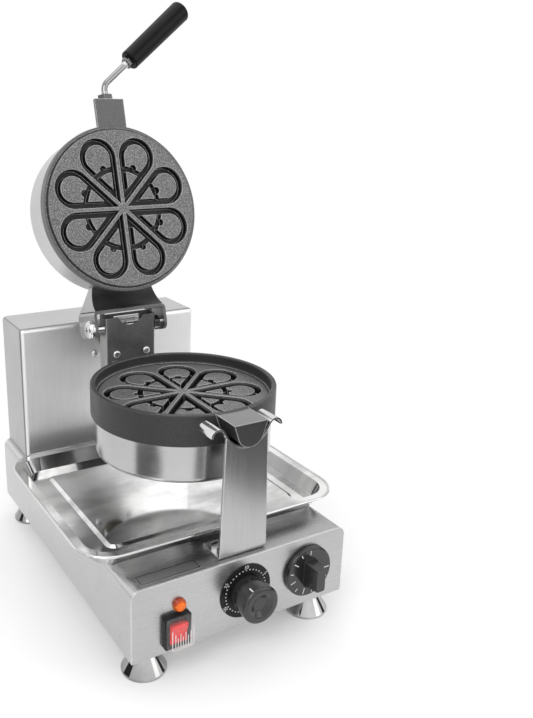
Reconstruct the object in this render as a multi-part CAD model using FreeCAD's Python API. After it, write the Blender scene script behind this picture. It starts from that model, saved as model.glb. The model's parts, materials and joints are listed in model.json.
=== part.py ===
import FreeCAD, Part
import math
import os

# Rotary waffle maker: a stainless base with a rear bearing column, a front saddle post,
# a hinged pair of cast pans that flips on a hollow shaft, and a loose drip tray.
# Millimetres. +X is right, +Y is to the rear, +Z is up, z = 0 is the table.

# Base housing and feet
BASE_WIDTH = 250.0
BASE_DEPTH = 386.0
BASE_HEIGHT = 78.0
SHEET = 1.2
BASE_BEND = 10.0
FOOT_HEIGHT = 30.0
FOOT_RADIUS = 23.0
FOOT_LIP = 3.0
FOOT_EDGE = 1.0
FOOT_NECK_RADIUS = 11.0
FOOT_NECK_HEIGHT = 8.0
FOOT_INSET = 25.0
FOOT_STUD_RADIUS = 4.0
FOOT_NUT_ACROSS = 13.0
FOOT_NUT_HEIGHT = 6.0
VENT_LENGTH = 60.0
VENT_WIDTH = 5.0
VENT_PITCH = 22.0
VENT_COUNT = 5

# Rear column and its bearing
COLUMN_WIDTH = 235.0
COLUMN_DEPTH = 70.0
COLUMN_HEIGHT = 165.5
COLUMN_BEND = 5.0
BRACKET_SHEET = 4.0
BRACKET_WIDTH = 76.0
BRACKET_DEPTH = 46.0
SHAFT_RADIUS = 12.0
SHAFT_BORE = 8.5
SHAFT_END = 9.0
BUSH_WALL = 2.5
BUSH_FLANGE = 2.8
BUSH_FLANGE_THICK = 3.0
COLLAR_WALL = 5.0
COLLAR_WIDTH = 5.0
BEARING_SCREW_X = 22.5
BEARING_SCREW_RISE = 12.0
BEARING_SCREW_DROP = 20.0
LEAD_HOLE_RADIUS = 14.0
LEAD_HOLE_X = 76.0

# Front post and saddle
POST_SETBACK = 5.5
POST_WIDTH = 55.0
POST_TOP_WIDTH = 46.0
POST_SHEET = 3.0
POST_BEND = 2.0
POST_FOOT = 32.0
POST_BOLT_X = 20.0
POST_BOLT_SETBACK = 18.0
SADDLE_SHEET = 2.0
SADDLE_SLOPE = 60.0
SADDLE_FLANK = 6.5
SADDLE_EAR = 8.0
SADDLE_CLEAR_OF_PAN = 1.0

# Pan pair
PAN_SETBACK = 130.0
FLIP_RISE = 143.0
PART_GAP = 0.3
RUN_GAP = 0.4
RING_RADIUS = 99.0
RING_WALL = 5.5
RING_HEIGHT = 33.0
RING_EDGE = 1.4
RING_SEAT = 10.0
BOWL_DEPTH = 12.0
BOWL_CORNER = 2.8
LOWER_PLATE = 18.0
LOWER_SHELL_RADIUS = 95.0
LOWER_SHELL_HEIGHT = 41.0
UPPER_FLANGE_LIP = 1.5
UPPER_FLANGE = 10.0
PLUG_RADIUS = 90.5
PLUG_DEPTH = 3.0
UPPER_BOSS_ROOM = 7.0
UPPER_BOSS = 10.0
UPPER_SHELL_RADIUS = 94.0
UPPER_SHELL_HEIGHT = 46.0
SHELL_SHEET = 1.0
SHELL_BEND = 5.0
SHELL_CLEAR = 0.2
HEATER_RADIUS = 52.0
HEATER_WIDTH = 9.0
HEATER_HEIGHT = 7.0

# Petal mould, cut in both plates
PETAL_COUNT = 8
PETAL_CENTRE = 63.0
RIB = 3.8
CHANNEL = 6.8
CHANNEL_DEPTH = 10.0
ISLAND_DROP = 1.5
MOULD_DRAFT = 4.0
CROSS_RADIUS = 46.0
CROSS_WIDTH = 5.0
CROSS_NOTCH = 4.2

# Trunnion and lid lug
TRUNNION_HALF = 18.75
TRUNNION_DEPTH = 24.6
TRUNNION_ROUND = 14.6
TRUNNION_REACH = 130.6
LUG_RADIUS = 18.0
LUG_REACH = 126.0
LUG_ROOT = 1.4

# Hinge
HINGE_SETBACK = 265.4
HINGE_RISE = 26.5
OPEN_ANGLE = 106.0
ARM_SETBACK = 258.0
ARM_WIDTH = 65.0
ARM_SHEET = 3.0
ARM_DEPTH = 18.0
ARM_BEND = 4.0
ARM_TOP = 13.0
ARM_NOTCH = 17.4
ARM_NOTCH_RISE = 6.9
STOP_GAP = 0.3
STOP_EAR = 8.0
REAR_LUG_WIDTH = 52.0
REAR_LUG_DROP = 13.0
SHAFT_PLATE_WIDTH = 54.0
SHAFT_PLATE_HEIGHT = 32.0
SHAFT_PLATE = 6.0
ARM_SCREW_X = 19.5
ARM_SCREW_Z = -5.0
PAN_BOLT_X = 15.0
PAN_BOLT_Z = -24.0
PIN_RADIUS = 4.0
PIN_HEAD_RADIUS = 11.3
PIN_HEAD = 7.0
PIN_HEAD_ROUND = 5.6
PIN_END = 1.5
PIN_NUT_ACROSS = 14.0
PIN_NUT = 6.5
YOKE_WIDTH = 93.0
YOKE_SHEET = 3.5
YOKE_BEND = 5.0
YOKE_REACH = 21.0
YOKE_TAIL = 10.0
YOKE_FRONT = 11.0
YOKE_REAR = 40.0
NECK_WIDTH = 88.0
NECK_TOP_WIDTH = 76.0
NECK_WEB = 5.0
NECK_RIB = 4.0
NECK_RAMP = 16.0
NECK_REACH = 50.0
NECK_TIP_DEPTH = 9.0
NECK_SCOOP = 30.0

# Handle
ROD_RADIUS = 3.6
ROD_RISE = 9.0
ROD_SEAT = 18.0
ROD_OUT = 5.0
ROD_BEND = 14.0
ROD_ANGLE = 51.0
ROD_RUN = 40.0
GRIP_LENGTH = 102.0
GRIP_RADIUS = 11.6
GRIP_TIP_RADIUS = 12.8
GRIP_ROUND = 2.0
GRIP_TIP_ROUND = 4.0
GRIP_SOCKET = 30.0
LUG_NUT_ACROSS = 16.0
LUG_NUT = 6.0
GRIP_NUT_ACROSS = 12.0
GRIP_NUT = 6.0

# Drip tray
TRAY_WIDTH = 304.0
TRAY_SETBACK = 35.0
TRAY_DEPTH = 254.0
TRAY_HEIGHT = 16.5
TRAY_SHEET = 1.2
TRAY_CORNER = 38.0
TRAY_RIM = 11.0
TRAY_SLOPE = 7.0
TRAY_CLEAR = 0.3
PANEL_INSET = 24.0
PANEL_RISE = 2.0
PANEL_BEVEL = 4.0
PANEL_CORNER = 6.0

# Front controls, placed from the middle of the front panel and the base's lower edge
CONTROL_RISE = 40.0
TIMER_X = 0.5
THERMOSTAT_INSET = 48.0
DIAL_RADIUS = 29.5
DIAL_THICK = 1.0
KNOB_GAP = 0.8
KNOB_REACH = 30.0
KNOB_RADIUS = 20.3
KNOB_BASE_RADIUS = 18.8
KNOB_ROUND = 3.5
KNOB_DISH = 4.0
KNOB_DISH_RADIUS = 13.0
KNOB_DISH_ROUND = 1.8
KNOB_HUB_RADIUS = 7.0
SKIRT_RADIUS = 28.0
SKIRT_THICK = 5.0
SKIRT_EDGE = 2.0
BAR_REACH = 24.5
BAR_LENGTH = 31.0
BAR_WIDTH = 16.0
BAR_FRONT_WIDTH = 10.6
BAR_FRONT_LENGTH = 25.0
SPINDLE_RADIUS = 3.0
SPINDLE_IN = 14.0
SPINDLE_SEAT = 12.0
NECK_BUSH_RADIUS = 5.0
TIMER_BODY = 50.0
TIMER_BODY_DEPTH = 36.0
THERMOSTAT_BODY_WIDTH = 40.0
THERMOSTAT_BODY_HEIGHT = 34.0
THERMOSTAT_BODY_DEPTH = 30.0
LAMP_INSET = 50.0
LAMP_RISE = 50.0
LAMP_RADIUS = 8.2
LAMP_RIM = 1.5
LAMP_EDGE = 0.7
LAMP_DOME = 6.0
LAMP_DOME_RADIUS = 7.4
LAMP_DOME_ROUND = 3.6
LAMP_BARREL = 5.9
LAMP_DEPTH = 26.0
LAMP_NUT_RADIUS = 9.0
LAMP_NUT = 3.0
SWITCH_INSET = 46.5
SWITCH_RISE = 24.0
SWITCH_WIDTH = 28.5
SWITCH_HEIGHT = 35.0
SWITCH_FRAME = 5.5
SWITCH_BODY_WIDTH = 23.0
SWITCH_BODY_HEIGHT = 30.0
SWITCH_BODY_DEPTH = 24.0
SWITCH_CORNER = 2.5
ROCKER_WIDTH = 18.0
ROCKER_HEIGHT = 22.4
ROCKER_REACH = 8.5
ROCKER_HOLLOW = 1.6
ROCKER_BACK = 4.0
ROCKER_BACK_HEIGHT = 13.4
ROCKER_BACK_ROUND = 2.0
ROCKER_EDGE = 1.0
ROCKER_ROOM = 1.8
ROCKER_SIDE_GAP = 0.4
ROCKER_TILT = 8.0
ROCKER_PIN_RADIUS = 1.5
ROCKER_PIN = 1.5
COVER_SHEET = 0.8
COVER_REACH = 10.0
COVER_BORDER = 1.0
COVER_TAPER = 1.2
TERMINAL_WIDTH = 40.0
TERMINAL_DEPTH = 22.0
TERMINAL_HEIGHT = 20.0
TERMINAL_FROM_REAR = 70.0
GLAND_INSET = 45.0
GLAND_RISE = 30.0
GLAND_REACH = 14.0
GLAND_RADIUS = 9.0
GLAND_ACROSS = 24.0
GLAND_HEX = 5.0
GLAND_CAP_RADIUS = 10.5
GLAND_SEAL_RADIUS = 5.0
GLAND_SEAL_DEPTH = 5.0
GLAND_TAIL = 10.0
GLAND_NUT = 5.0

# Small screws
SCREW_RADIUS = 2.5
SCREW_HEAD_RADIUS = 4.6
SCREW_HEAD = 2.6
SCREW_HEAD_ROUND = 1.8
BOLT_RADIUS = 3.0
BOLT_ACROSS = 10.0
BOLT_HEAD = 4.0
BOLT_TAIL = 8.0
PIN_FIT = 0.05
HOLE_FIT = 0.05

# Levels and planes worked out from the sizes above
BASE_BOTTOM = FOOT_HEIGHT
BASE_TOP = FOOT_HEIGHT + BASE_HEIGHT
BASE_FRONT = (KNOB_REACH - BASE_DEPTH - GLAND_REACH) / 2
BASE_REAR = BASE_FRONT + BASE_DEPTH
PANEL_BACK = BASE_FRONT + SHEET
COLUMN_FRONT = BASE_REAR - COLUMN_DEPTH
COLUMN_TOP = BASE_TOP + COLUMN_HEIGHT
POST_FRONT = BASE_FRONT + POST_SETBACK
PAN_Y = BASE_FRONT + PAN_SETBACK
FLIP_Z = BASE_TOP + FLIP_RISE
HINGE_Y = BASE_FRONT + HINGE_SETBACK
HINGE_Z = FLIP_Z + HINGE_RISE
ARM_FRONT = BASE_FRONT + ARM_SETBACK
ARM_BACK_OF_WEB = ARM_FRONT + ARM_SHEET
LID_Z = FLIP_Z + PART_GAP
SADDLE_RADIUS = TRUNNION_DEPTH + RUN_GAP
RING_BOTTOM = FLIP_Z - RING_HEIGHT
CONTROL_Z = BASE_BOTTOM + CONTROL_RISE
PETAL_HALF = math.radians(180.0 / PETAL_COUNT)
YOKE_INNER = YOKE_REACH - YOKE_SHEET
PIN_HEAD_X = -YOKE_WIDTH / 2 - RUN_GAP
PIN_NUT_X = ARM_WIDTH / 2
UPPER_FLANGE_RADIUS = UPPER_SHELL_RADIUS + UPPER_FLANGE_LIP
UPPER_BOSS_RADIUS = UPPER_SHELL_RADIUS - SHELL_SHEET - UPPER_BOSS_ROOM
THERMOSTAT_X = BASE_WIDTH / 2 - THERMOSTAT_INSET
LAMP_X = LAMP_INSET - BASE_WIDTH / 2
SWITCH_X = SWITCH_INSET - BASE_WIDTH / 2
SWITCH_Z = BASE_BOTTOM + SWITCH_RISE
LAMP_Z = BASE_BOTTOM + LAMP_RISE
GLAND_X = BASE_WIDTH / 2 - GLAND_INSET
GLAND_Z = BASE_BOTTOM + GLAND_RISE
BUSH_RADIUS = SHAFT_RADIUS + PIN_FIT + BUSH_WALL
BRACKET_FRONT = COLUMN_FRONT + SHEET
BRACKET_REAR = BRACKET_FRONT + BRACKET_DEPTH
BRACKET_TOP = COLUMN_TOP - COLUMN_BEND

V = FreeCAD.Vector
X_AXIS = V(1, 0, 0)
Y_AXIS = V(0, 1, 0)
Z_AXIS = V(0, 0, 1)


# Drawing helpers
def rounded_wire(corners, place):
    """Closed wire through (a, b, radius) corners, each rounded by its own radius."""
    spans = []
    for i, (a, b, radius) in enumerate(corners):
        here = V(a, b, 0)
        to_last = (V(*corners[i - 1][:2], 0) - here).normalize()
        to_next = (V(*corners[(i + 1) % len(corners)][:2], 0) - here).normalize()
        if radius == 0:
            spans.append([here])
            continue
        half = to_last.getAngle(to_next) / 2
        inward = (to_last + to_next).normalize()
        cut = radius / math.tan(half)
        middle = here + inward * (radius / math.sin(half) - radius)
        spans.append([here + to_last * cut, middle, here + to_next * cut])
    edges = []
    for i, span in enumerate(spans):
        start = spans[i - 1][-1]
        if start.distanceToPoint(span[0]) > 1e-6:
            edges.append(Part.makeLine(place(start.x, start.y), place(span[0].x, span[0].y)))
        if len(span) == 3:
            edges.append(Part.Arc(*[place(p.x, p.y) for p in span]).toShape())
    return Part.Wire(edges)


def plate_xz(corners, y0, y1):
    wire = rounded_wire(corners, lambda a, b: V(a, y0, b))
    return Part.Face(wire).extrude(V(0, y1 - y0, 0))


def plate_yz(corners, x0, x1):
    wire = rounded_wire(corners, lambda a, b: V(x0, a, b))
    return Part.Face(wire).extrude(V(x1 - x0, 0, 0))


def plate_xy(corners, z0, z1):
    wire = rounded_wire(corners, lambda a, b: V(a, b, z0))
    return Part.Face(wire).extrude(V(0, 0, z1 - z0))


def turned_z(corners, x, y):
    """Solid of revolution about the vertical line at x, y, from (radius, z, rounding) corners."""
    wire = rounded_wire(corners, lambda r, z: V(x + r, y, z))
    return Part.Face(wire).revolve(V(x, y, 0), Z_AXIS, 360)


def turned_y(corners, x, z):
    """Solid of revolution about the front-to-rear line at x, z, from (radius, y, rounding) corners."""
    wire = rounded_wire(corners, lambda r, y: V(x + r, y, z))
    return Part.Face(wire).revolve(V(x, 0, z), Y_AXIS, 360)


def box(x0, x1, y0, y1, z0, z1):
    return Part.makeBox(x1 - x0, y1 - y0, z1 - z0, V(x0, y0, z0))


def rod_x(radius, x0, x1, y, z):
    return Part.makeCylinder(radius, x1 - x0, V(x0, y, z), X_AXIS)


def rod_y(radius, y0, y1, x, z):
    return Part.makeCylinder(radius, y1 - y0, V(x, y0, z), Y_AXIS)


def rod_z(radius, z0, z1, x, y):
    return Part.makeCylinder(radius, z1 - z0, V(x, y, z0), Z_AXIS)


def hexagon(across, length, base, axis):
    """Hexagonal prism that starts at base and runs along axis."""
    radius = across / math.sqrt(3)
    turns = [math.radians(60 * i) for i in range(7)]
    wire = Part.makePolygon([V(radius * math.cos(t), radius * math.sin(t), 0) for t in turns])
    prism = Part.Face(wire).extrude(V(0, 0, length))
    prism.Placement = FreeCAD.Placement(base, FreeCAD.Rotation(Z_AXIS, axis))
    return prism


def rectangle(width, height, x, z, radius):
    """Rounded rectangle corners about a centre."""
    return [(x - width / 2, z - height / 2, radius), (x + width / 2, z - height / 2, radius),
            (x + width / 2, z + height / 2, radius), (x - width / 2, z + height / 2, radius)]


def screw_y(x, y, z, tail):
    """Pan-head screw: its head stands in front of the plane y and its shank runs behind it."""
    front = y - SCREW_HEAD
    head = [(0, y, 0), (SCREW_HEAD_RADIUS, y, 0), (SCREW_HEAD_RADIUS, front, SCREW_HEAD_ROUND), (0, front, 0)]
    return turned_y(head, x, z).fuse(rod_y(SCREW_RADIUS, y, y + tail, x, z)).removeSplitter()


# Base
def base_profile(inset, drop=0.0):
    half = BASE_WIDTH / 2 - inset
    top = BASE_TOP - inset
    bend = BASE_BEND - inset
    low = BASE_BOTTOM - drop
    return [(-half, low, 0), (-half, top, bend), (half, top, bend), (half, low, 0)]


def base_housing():
    y0 = PANEL_BACK
    y1 = BASE_REAR - SHEET
    shell = plate_xz(base_profile(0), y0, y1).cut(plate_xz(base_profile(SHEET, drop=SHEET), y0, y1))
    low = BASE_TOP - SHEET
    holes = [rod_z(BOLT_RADIUS + HOLE_FIT, low, BASE_TOP, x, y) for x, y in post_bolt_places()]
    holes.append(rod_z(LEAD_HOLE_RADIUS, low, BASE_TOP, LEAD_HOLE_X, COLUMN_FRONT + COLUMN_DEPTH / 2))
    return shell.cut(holes)


def front_panel():
    panel = plate_xz(base_profile(0), BASE_FRONT, PANEL_BACK)
    for x in (TIMER_X, THERMOSTAT_X):
        panel = panel.cut(rod_y(NECK_BUSH_RADIUS + HOLE_FIT, BASE_FRONT, PANEL_BACK, x, CONTROL_Z))
    panel = panel.cut(rod_y(LAMP_BARREL + HOLE_FIT, BASE_FRONT, PANEL_BACK, LAMP_X, LAMP_Z))
    width = SWITCH_BODY_WIDTH + 2 * HOLE_FIT
    height = SWITCH_BODY_HEIGHT + 2 * HOLE_FIT
    return panel.cut(plate_xz(rectangle(width, height, SWITCH_X, SWITCH_Z, 0), BASE_FRONT, PANEL_BACK))


def rear_panel():
    inside = BASE_REAR - SHEET
    panel = plate_xz(base_profile(0), inside, BASE_REAR)
    return panel.cut(rod_y(GLAND_RADIUS + HOLE_FIT, inside, BASE_REAR, GLAND_X, GLAND_Z))


def foot_places():
    x = BASE_WIDTH / 2 - FOOT_INSET
    return {"front_left": (-x, BASE_FRONT + FOOT_INSET), "front_right": (x, BASE_FRONT + FOOT_INSET),
            "rear_left": (-x, BASE_REAR - FOOT_INSET), "rear_right": (x, BASE_REAR - FOOT_INSET)}


def bottom_plate():
    half = BASE_WIDTH / 2 - SHEET
    half_vent = VENT_LENGTH / 2
    top = BASE_BOTTOM + SHEET
    plate = box(-half, half, PANEL_BACK, BASE_REAR - SHEET, BASE_BOTTOM, top)
    holes = [rod_z(FOOT_STUD_RADIUS + HOLE_FIT, BASE_BOTTOM, top, x, y) for x, y in foot_places().values()]
    middle = (BASE_FRONT + BASE_REAR) / 2
    for i in range(VENT_COUNT):
        y = middle + (i - (VENT_COUNT - 1) / 2) * VENT_PITCH - VENT_WIDTH / 2
        holes.append(box(-half_vent, half_vent, y, y + VENT_WIDTH, BASE_BOTTOM, top))
    return plate.cut(holes)


def foot(x, y):
    """Bell-shaped foot with the stud that bolts it to the bottom plate."""
    flare = FOOT_RADIUS - FOOT_NECK_RADIUS
    stud_top = FOOT_HEIGHT + SHEET + FOOT_NUT_HEIGHT
    bell = [(0, 0, 0), (FOOT_RADIUS, 0, FOOT_EDGE), (FOOT_RADIUS, FOOT_LIP, FOOT_EDGE),
            (FOOT_NECK_RADIUS, FOOT_HEIGHT - FOOT_NECK_HEIGHT, flare), (FOOT_NECK_RADIUS, FOOT_HEIGHT, 0),
            (FOOT_STUD_RADIUS, FOOT_HEIGHT, 0), (FOOT_STUD_RADIUS, stud_top, 0), (0, stud_top, 0)]
    return turned_z(bell, x, y)


def foot_nuts():
    low = BASE_BOTTOM + SHEET
    nuts = []
    for x, y in foot_places().values():
        nut = hexagon(FOOT_NUT_ACROSS, FOOT_NUT_HEIGHT, V(x, y, low), Z_AXIS)
        nuts.append(nut.cut(rod_z(FOOT_STUD_RADIUS + HOLE_FIT, low, low + FOOT_NUT_HEIGHT, x, y)))
    return Part.makeCompound(nuts)


# Column and bearing
def folded_box(x0, x1, y0, y1, z0, z1, bend):
    """Box rounded along its front and top folds, square where it meets the base and the rear panel."""
    block = box(x0, x1, y0, y1, z0, z1)

    def in_plane(edge, axis, level):
        return all(abs(vertex.Point[axis] - level) < 1e-6 for vertex in edge.Vertexes)

    folds = [e for e in block.Edges if not in_plane(e, 2, z0) and not in_plane(e, 1, y1)]
    return block.makeFillet(bend, folds)


def bearing_screw_places():
    heights = (FLIP_Z + BEARING_SCREW_RISE, FLIP_Z - BEARING_SCREW_DROP)
    return [(side * BEARING_SCREW_X, z) for side in (-1, 1) for z in heights]


def column_cover():
    half = COLUMN_WIDTH / 2
    rear = BASE_REAR - SHEET
    outer = folded_box(-half, half, COLUMN_FRONT, rear, BASE_TOP, COLUMN_TOP, COLUMN_BEND)
    inner = folded_box(SHEET - half, half - SHEET, COLUMN_FRONT + SHEET, rear + SHEET, BASE_TOP - SHEET,
                       COLUMN_TOP - SHEET, COLUMN_BEND - SHEET)
    cover = outer.cut(inner)
    cover = cover.cut(rod_y(BUSH_RADIUS + HOLE_FIT, COLUMN_FRONT, BRACKET_FRONT, 0, FLIP_Z))
    for x, z in bearing_screw_places():
        cover = cover.cut(rod_y(SCREW_RADIUS + HOLE_FIT, COLUMN_FRONT, BRACKET_FRONT, x, z))
    return cover


def column_back():
    half = COLUMN_WIDTH / 2
    outline = [(-half, BASE_TOP, 0), (-half, COLUMN_TOP, COLUMN_BEND), (half, COLUMN_TOP, COLUMN_BEND),
               (half, BASE_TOP, 0)]
    return plate_xz(outline, BASE_REAR - SHEET, BASE_REAR)


def bearing_bracket():
    """Channel of thick sheet inside the column, one upright behind its front wall and one behind that."""
    half = BRACKET_WIDTH / 2
    inside = BRACKET_FRONT + BRACKET_SHEET
    channel = box(-half, half, BRACKET_FRONT, BRACKET_REAR, BASE_TOP, BRACKET_TOP)
    channel = channel.cut(box(-half, half, inside, BRACKET_REAR - BRACKET_SHEET, BASE_TOP + BRACKET_SHEET,
                              BRACKET_TOP))
    channel = channel.cut(rod_y(BUSH_RADIUS + HOLE_FIT, BRACKET_FRONT, BRACKET_REAR, 0, FLIP_Z))
    for x, z in bearing_screw_places():
        channel = channel.cut(rod_y(SCREW_RADIUS + HOLE_FIT, BRACKET_FRONT, inside, x, z))
    return channel


def bush(flange_front, flange_back, barrel_end):
    """Bronze flanged bush on the flip axis; the flange bears on the wall that carries it."""
    bore = SHAFT_RADIUS + PIN_FIT
    rim = BUSH_RADIUS + BUSH_FLANGE
    low = min(flange_front, flange_back)
    high = max(flange_front, flange_back)
    body = rod_y(rim, low, high, 0, FLIP_Z)
    body = body.fuse(rod_y(BUSH_RADIUS, min(low, barrel_end), max(high, barrel_end), 0, FLIP_Z))
    return body.cut(rod_y(bore, min(low, barrel_end), max(high, barrel_end), 0, FLIP_Z)).removeSplitter()


def front_bush():
    return bush(COLUMN_FRONT - BUSH_FLANGE_THICK, COLUMN_FRONT, BRACKET_FRONT + BRACKET_SHEET)


def rear_bush():
    return bush(BRACKET_REAR, BRACKET_REAR + BUSH_FLANGE_THICK, BRACKET_REAR - BRACKET_SHEET)


def bearing_screws():
    tail = SHEET + BRACKET_SHEET
    return Part.makeCompound([screw_y(x, COLUMN_FRONT, z, tail) for x, z in bearing_screw_places()])


# Front post and saddle
def front_post():
    half = POST_WIDTH / 2
    half_top = POST_TOP_WIDTH / 2
    top = FLIP_Z
    back = POST_FRONT + POST_SHEET
    foot_top = BASE_TOP + POST_SHEET
    foot_end = POST_FRONT + POST_FOOT
    outline = [(POST_FRONT, top, 0), (POST_FRONT, BASE_TOP, POST_SHEET + POST_BEND), (foot_end, BASE_TOP, 0),
               (foot_end, foot_top, 0), (back, foot_top, POST_BEND), (back, top, 0)]
    sheet = plate_yz(outline, -half, half)
    taper = [(-half, BASE_TOP, 0), (half, BASE_TOP, 0), (half_top, top, 0), (-half_top, top, 0)]
    upright = sheet.common(plate_xz(taper, POST_FRONT, back + POST_BEND))
    flat = sheet.common(box(-half, half, back + POST_BEND, foot_end, BASE_TOP, foot_top))
    post = upright.fuse(flat)
    seat = SADDLE_RADIUS + SADDLE_SHEET
    post = post.cut(rod_y(seat, POST_FRONT, foot_end, 0, FLIP_Z))
    post = post.cut(box(-half, half, POST_FRONT, foot_end, FLIP_Z - saddle_corner_drop(), FLIP_Z))
    for x, y in post_bolt_places():
        post = post.cut(rod_z(BOLT_RADIUS + HOLE_FIT, BASE_TOP, foot_top, x, y))
    return post.removeSplitter()


def saddle_corner_drop():
    """Drop below the flip axis of the place where the trough's outside runs into its flank."""
    return (SADDLE_RADIUS + SADDLE_SHEET) * math.cos(math.radians(SADDLE_SLOPE))


def saddle_side(offset, side):
    """Points of one side of the saddle's section: flank start, flank end, ear middle and ear end."""
    slope = math.radians(SADDLE_SLOPE)
    along = V(math.cos(slope), 0, math.sin(slope))
    across = V(math.sin(slope), 0, -math.cos(slope))
    start = across * (SADDLE_RADIUS + offset)
    end = start + along * SADDLE_FLANK
    centre = end + across * (SADDLE_EAR - offset)
    ear = SADDLE_EAR - offset
    crest = (math.pi / 2 + slope) / 2
    middle = centre + V(math.cos(crest), 0, math.sin(crest)) * ear
    tip = centre + V(ear, 0, 0)
    return [V(side * p.x, POST_FRONT, FLIP_Z + p.z) for p in (start, end, middle, tip)]


def saddle():
    """Sheet strip that carries the trunnion: a trough, two flanks and two rolled ears."""
    edges = []
    rows = {}
    for offset in (0, SADDLE_SHEET):
        rows[offset] = [saddle_side(offset, -1), saddle_side(offset, 1)]
        low = V(0, POST_FRONT, FLIP_Z - SADDLE_RADIUS - offset)
        edges.append(Part.Arc(rows[offset][0][0], low, rows[offset][1][0]).toShape())
        for start, end, middle, tip in rows[offset]:
            edges.append(Part.makeLine(start, end))
            edges.append(Part.Arc(end, middle, tip).toShape())
    for i in (0, 1):
        edges.append(Part.makeLine(rows[0][i][3], rows[SADDLE_SHEET][i][3]))
    section = Part.Face(Part.Wire(Part.__sortEdges__(edges)))
    rear = PAN_Y - RING_RADIUS - SADDLE_CLEAR_OF_PAN
    return section.extrude(V(0, rear - POST_FRONT, 0))


def post_bolt_places():
    return [(side * POST_BOLT_X, POST_FRONT + POST_BOLT_SETBACK) for side in (-1, 1)]


def post_bolts():
    seat = BASE_TOP + POST_SHEET
    bolts = []
    for x, y in post_bolt_places():
        head = hexagon(BOLT_ACROSS, BOLT_HEAD, V(x, y, seat), Z_AXIS)
        bolts.append(head.fuse(rod_z(BOLT_RADIUS, seat - POST_SHEET - BOLT_TAIL, seat, x, y)))
    return Part.makeCompound(bolts)


# Petal mould
def side_angle(radius, inset):
    """Half angle, at a radius, of a petal whose sides stand inset from the ribs' edges."""
    return PETAL_HALF - math.asin((RIB / 2 + inset) / radius)


def petal_end(inset):
    """Tangent points and outer point of a petal's round end."""
    radius = PETAL_CENTRE * math.sin(PETAL_HALF) - RIB / 2 - inset
    along = PETAL_CENTRE - radius * math.sin(PETAL_HALF)
    across = radius * math.cos(PETAL_HALF)
    return V(along, across, 0), V(PETAL_CENTRE + radius, 0, 0), V(along, -across, 0)


def petal_wire(inset, z):
    tip = V((RIB / 2 + inset) / math.sin(PETAL_HALF), 0, z)
    left, outer, right = [p + V(0, 0, z) for p in petal_end(inset)]
    arc = Part.Arc(left, outer, right).toShape()
    return Part.Wire([Part.makeLine(tip, left), arc, Part.makeLine(right, tip)])


def inner_island_wire(inset, z):
    """Wedge between the petal's tip and the cross channel."""
    tip = V((RIB / 2 + inset) / math.sin(PETAL_HALF), 0, z)
    radius = CROSS_RADIUS - CROSS_WIDTH / 2 - (inset - CHANNEL)
    turn = side_angle(radius, inset)
    left = V(radius * math.cos(turn), radius * math.sin(turn), z)
    right = V(left.x, -left.y, z)
    arc = Part.Arc(left, V(radius, 0, z), right).toShape()
    return Part.Wire([Part.makeLine(tip, left), arc, Part.makeLine(right, tip)])


def outer_island_wire(inset, z):
    """Round island beyond the cross channel, with a notch in the middle of its inner edge."""
    radius = CROSS_RADIUS + CROSS_WIDTH / 2 + (inset - CHANNEL)
    turn = side_angle(radius, inset)
    notch = 2 * math.asin(CROSS_NOTCH / (2 * radius))

    def on_arc(angle):
        return V(radius * math.cos(angle), radius * math.sin(angle), z)

    left, outer, right = [p + V(0, 0, z) for p in petal_end(inset)]
    return Part.Wire([
        Part.makeLine(on_arc(turn), left), Part.Arc(left, outer, right).toShape(),
        Part.makeLine(right, on_arc(-turn)),
        Part.Arc(on_arc(-turn), on_arc(-(turn + notch) / 2), on_arc(-notch)).toShape(),
        Part.Arc(on_arc(-notch), V(radius + CROSS_NOTCH, 0, z), on_arc(notch)).toShape(),
        Part.Arc(on_arc(notch), on_arc((turn + notch) / 2), on_arc(turn)).toShape()])


def petal_channels(face_z, into):
    """Tools for all the petals: each is a drafted pocket less its two islands. into is +1 or -1 in z."""
    lean = CHANNEL_DEPTH * math.tan(math.radians(MOULD_DRAFT))
    deep = face_z + into * CHANNEL_DEPTH
    pocket = Part.makeLoft([petal_wire(0, face_z), petal_wire(lean, deep)], True, True)
    island_top = face_z + into * ISLAND_DROP
    tool = pocket
    for wire in (inner_island_wire, outer_island_wire):
        island = Part.makeLoft([wire(CHANNEL, deep), wire(CHANNEL + lean, island_top)], True, True)
        tool = tool.cut(island)
    tools = []
    for i in range(PETAL_COUNT):
        turned = tool.copy()
        turned.rotate(V(0, 0, 0), Z_AXIS, (i + 0.5) * 360.0 / PETAL_COUNT)
        turned.translate(V(0, PAN_Y, 0))
        tools.append(turned)
    return tools


# Lower pan
def trunnion():
    """Cast half-round stub in front of the lower pan; its section stays inside the saddle at any turn."""
    drop = TRUNNION_DEPTH - TRUNNION_ROUND
    reach = math.hypot(TRUNNION_HALF, drop)
    turn = math.atan2(drop, TRUNNION_HALF) - math.acos(TRUNNION_ROUND / reach)
    tangent_x = TRUNNION_ROUND * math.cos(turn)
    tangent_z = FLIP_Z - drop + TRUNNION_ROUND * math.sin(turn)
    front = PAN_Y - TRUNNION_REACH
    left_top = V(-TRUNNION_HALF, front, FLIP_Z)
    right_top = V(TRUNNION_HALF, front, FLIP_Z)
    right = V(tangent_x, front, tangent_z)
    left = V(-tangent_x, front, tangent_z)
    low = V(0, front, FLIP_Z - TRUNNION_DEPTH)
    section = Part.Wire([Part.makeLine(left_top, right_top), Part.makeLine(right_top, right),
                         Part.Arc(right, low, left).toShape(), Part.makeLine(left, left_top)])
    back = PAN_Y - math.sqrt(RING_RADIUS ** 2 - TRUNNION_HALF ** 2) + LUG_ROOT
    return Part.Face(section).extrude(V(0, back - front, 0))


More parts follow.
